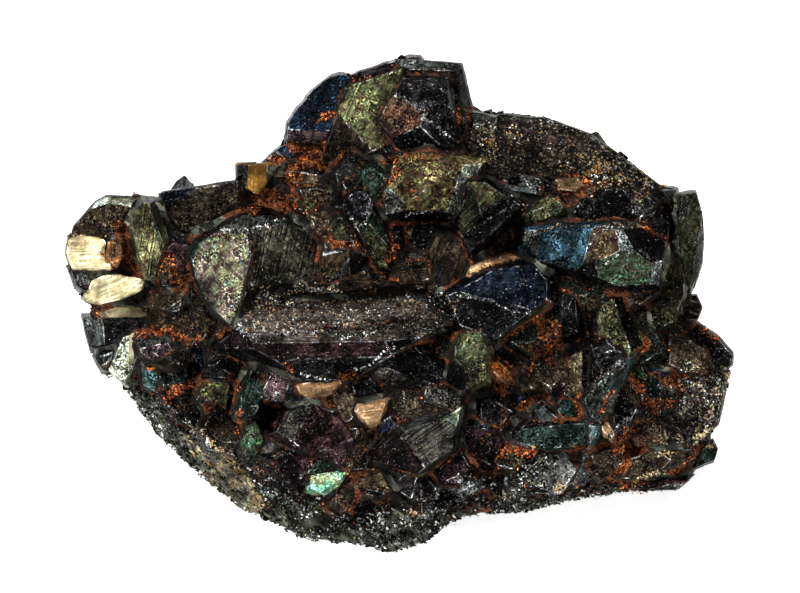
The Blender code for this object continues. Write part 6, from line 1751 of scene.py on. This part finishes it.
def rock_grains(pick):
    """Grains on the bare rock: fine and dense in front, coarse and sparse behind."""
    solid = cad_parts["specimen"].data
    turn = BACK.to_3x3().normalized()
    solid.calc_loop_triangles()
    corners = [BACK @ v.co for v in solid.vertices]
    bodies = [crystal_planes(shape)[0] for shape in CRYSTALS + BETWEEN if shape.tint != "grains"]
    bodies += [lens_planes(lens)[0] for lens in druse()]
    points, normals = [], []
    triangles = list(solid.loop_triangles)
    areas = np.array([t.area for t in triangles])
    chances = np.cumsum(areas) / areas.sum()
    for index in np.searchsorted(chances, [pick.random() for _ in range(ROCK_GRAINS * ROCK_TRIES)]):
        triangle = triangles[index]
        u, v = pick.random(), pick.random()
        if u + v > 1.0:
            u, v = 1.0 - u, 1.0 - v
        a, b, c = (corners[k] for k in triangle.vertices)
        points.append(a + (b - a) * u + (c - a) * v)
        normals.append(turn @ triangle.normal)
    array = np.array([tuple(p) for p in points])
    on_crystal = np.zeros(len(points), bool)
    for planes in bodies:
        starts = np.array([tuple(p) for p, _ in planes])
        ways = np.array([tuple(n) for _, n in planes])
        outside = (array @ ways.T - (starts * ways).sum(1)).max(1)
        on_crystal |= np.abs(outside) < ON_CRYSTAL
    spots = []
    for point, normal, taken in zip(points, normals, on_crystal):
        if taken or (point.z < FRONT_DEPTH and pick.random() < REAR_LEFT_OUT):
            continue
        size = any_size(pick, *ROCK_SIZES) if point.z > FRONT_DEPTH else pick.uniform(*REAR_SIZES)
        if spot_value(point, PALE_SPOTS) > PALE_FROM:
            tints = PALE_TINTS
        elif spot_value(point, RUST_SPOTS) > RUST_FROM:
            tints = RUST_TINTS
        else:
            tints = ROCK_TINTS
        seat = point - normal * size * ROCK_SUNK
        spots.append(Spot(seat, tilted(normal, pick, ROCK_LEAN), size, pick.choice(tints)))
    return spots[:ROCK_GRAINS]


def build_crystals(material):
    """All the crystals of the table and of the druse behind, in one piece for each region."""
    pick = random.Random(LOOK_SEED)
    for section, shapes in SECTIONS.items():
        piece = Piece("crystals_" + section)
        for shape in shapes:
            planes, tints = crystal_planes(shape)
            add_crystal(piece, shape.name, planes, tints, pick)
        piece.build(material)
    piece = Piece("crystals_between")
    for shape in BETWEEN:
        planes, tints = crystal_planes(shape)
        add_crystal(piece, shape.name, planes, tints, pick)
    piece.build(material)
    piece = Piece("crystals_behind")
    for lens in druse():
        planes, tints = lens_planes(lens)
        add_crystal(piece, "lens", planes, tints, pick)
    piece.build(material)
    scatter("crevice_crystals", crevice_crystals(pick), pick, material)
    scatter("crevice_grains", crevice_grains(pick), pick, material)
    scatter("rock_grains", rock_grains(pick), pick, material, streaky=True)
    scatter("seam_grains", seam_grains(pick), pick, material)


# Lights: name, place and side in metres, and power in watts
LIGHTS = (
    ("key", (-0.40, -0.25, 0.80), 0.18, 9.8),
    ("top", (0.25, 0.20, 0.95), 0.90, 4.9),
    ("front", (0.45, -0.75, 0.40), 0.15, 1.7),
    ("spark_left", (-0.75, -0.55, 0.45), 0.05, 1.0),
    ("spark_right", (0.70, -0.10, 0.75), 0.05, 1.0),
)
LIGHTS_AIM = (0.0, 0.0, 0.04)
WORLD_LIGHT = 0.14
FLOOR_RADIUS = 4.0
FLOOR_GLOW = 0.8                      # lifts the shadow under the part
CAMERA_RISE = FACE_RISE               # the photograph looks squarely at the crystal face
CAMERA_DISTANCE = 1.111
CAMERA_LENS = 250.0
CAMERA_AIM = (0.0, 0.7, 0.0)          # the point of the crystal face in the middle of the picture, in mm


def soft_light(name, place, size, power):
    """A square area light at a place, facing the part."""
    data = bpy.data.lights.new(name, "AREA")
    data.shape = "SQUARE"
    data.size = size
    data.energy = power
    made = bpy.data.objects.new(name, data)
    made.location = place
    made.rotation_euler = (Vector(LIGHTS_AIM) - Vector(place)).to_track_quat("-Z", "Y").to_euler()
    bpy.context.scene.collection.objects.link(made)


def build_stage():
    """A pale floor, soft lights, a white world and the camera."""
    scene = bpy.context.scene
    floor = bmesh.new()
    bmesh.ops.create_circle(floor, cap_ends=True, segments=96, radius=FLOOR_RADIUS)
    data = bpy.data.meshes.new("floor")
    floor.to_mesh(data)
    floor.free()
    made = Nodes("pale_floor")
    made.feed(made.shader.inputs["Base Color"],
              made.mix(made.cloud(60.0), (0.86, 0.86, 0.86, 1.0), (0.90, 0.90, 0.90, 1.0)))
    made.shader.inputs["Roughness"].default_value = 0.9
    made.shader.inputs["Emission Color"].default_value = (1.0, 1.0, 1.0, 1.0)
    made.shader.inputs["Emission Strength"].default_value = FLOOR_GLOW
    data.materials.append(made.material)
    ground = bpy.data.objects.new("floor", data)
    ground.location.z = cad_low.z
    scene.collection.objects.link(ground)
    world = bpy.data.worlds.new("studio")
    world.use_nodes = True
    world.node_tree.nodes["Background"].inputs["Color"].default_value = (1.0, 1.0, 1.0, 1.0)
    world.node_tree.nodes["Background"].inputs["Strength"].default_value = WORLD_LIGHT
    scene.world = world
    for light in LIGHTS:
        soft_light(*light)
    camera_data = bpy.data.cameras.new("camera")
    camera_data.lens = CAMERA_LENS
    camera_data.sensor_width = 36.0
    camera_data.clip_start = 0.05
    camera_data.clip_end = 20.0
    camera = bpy.data.objects.new("camera", camera_data)
    target = PLACE @ Vector(CAMERA_AIM)
    toward = Vector((0.0, -math.cos(CAMERA_RISE), math.sin(CAMERA_RISE)))
    camera.location = target + toward * CAMERA_DISTANCE
    camera.rotation_euler = (-toward).to_track_quat("-Z", "Y").to_euler()
    scene.collection.objects.link(camera)
    scene.camera = camera
    scene.view_settings.view_transform = "Standard"


BETWEEN = fillers()
lustre = crystal_material()
build_crust(crust_material())
build_crystals(lustre)
build_stage()
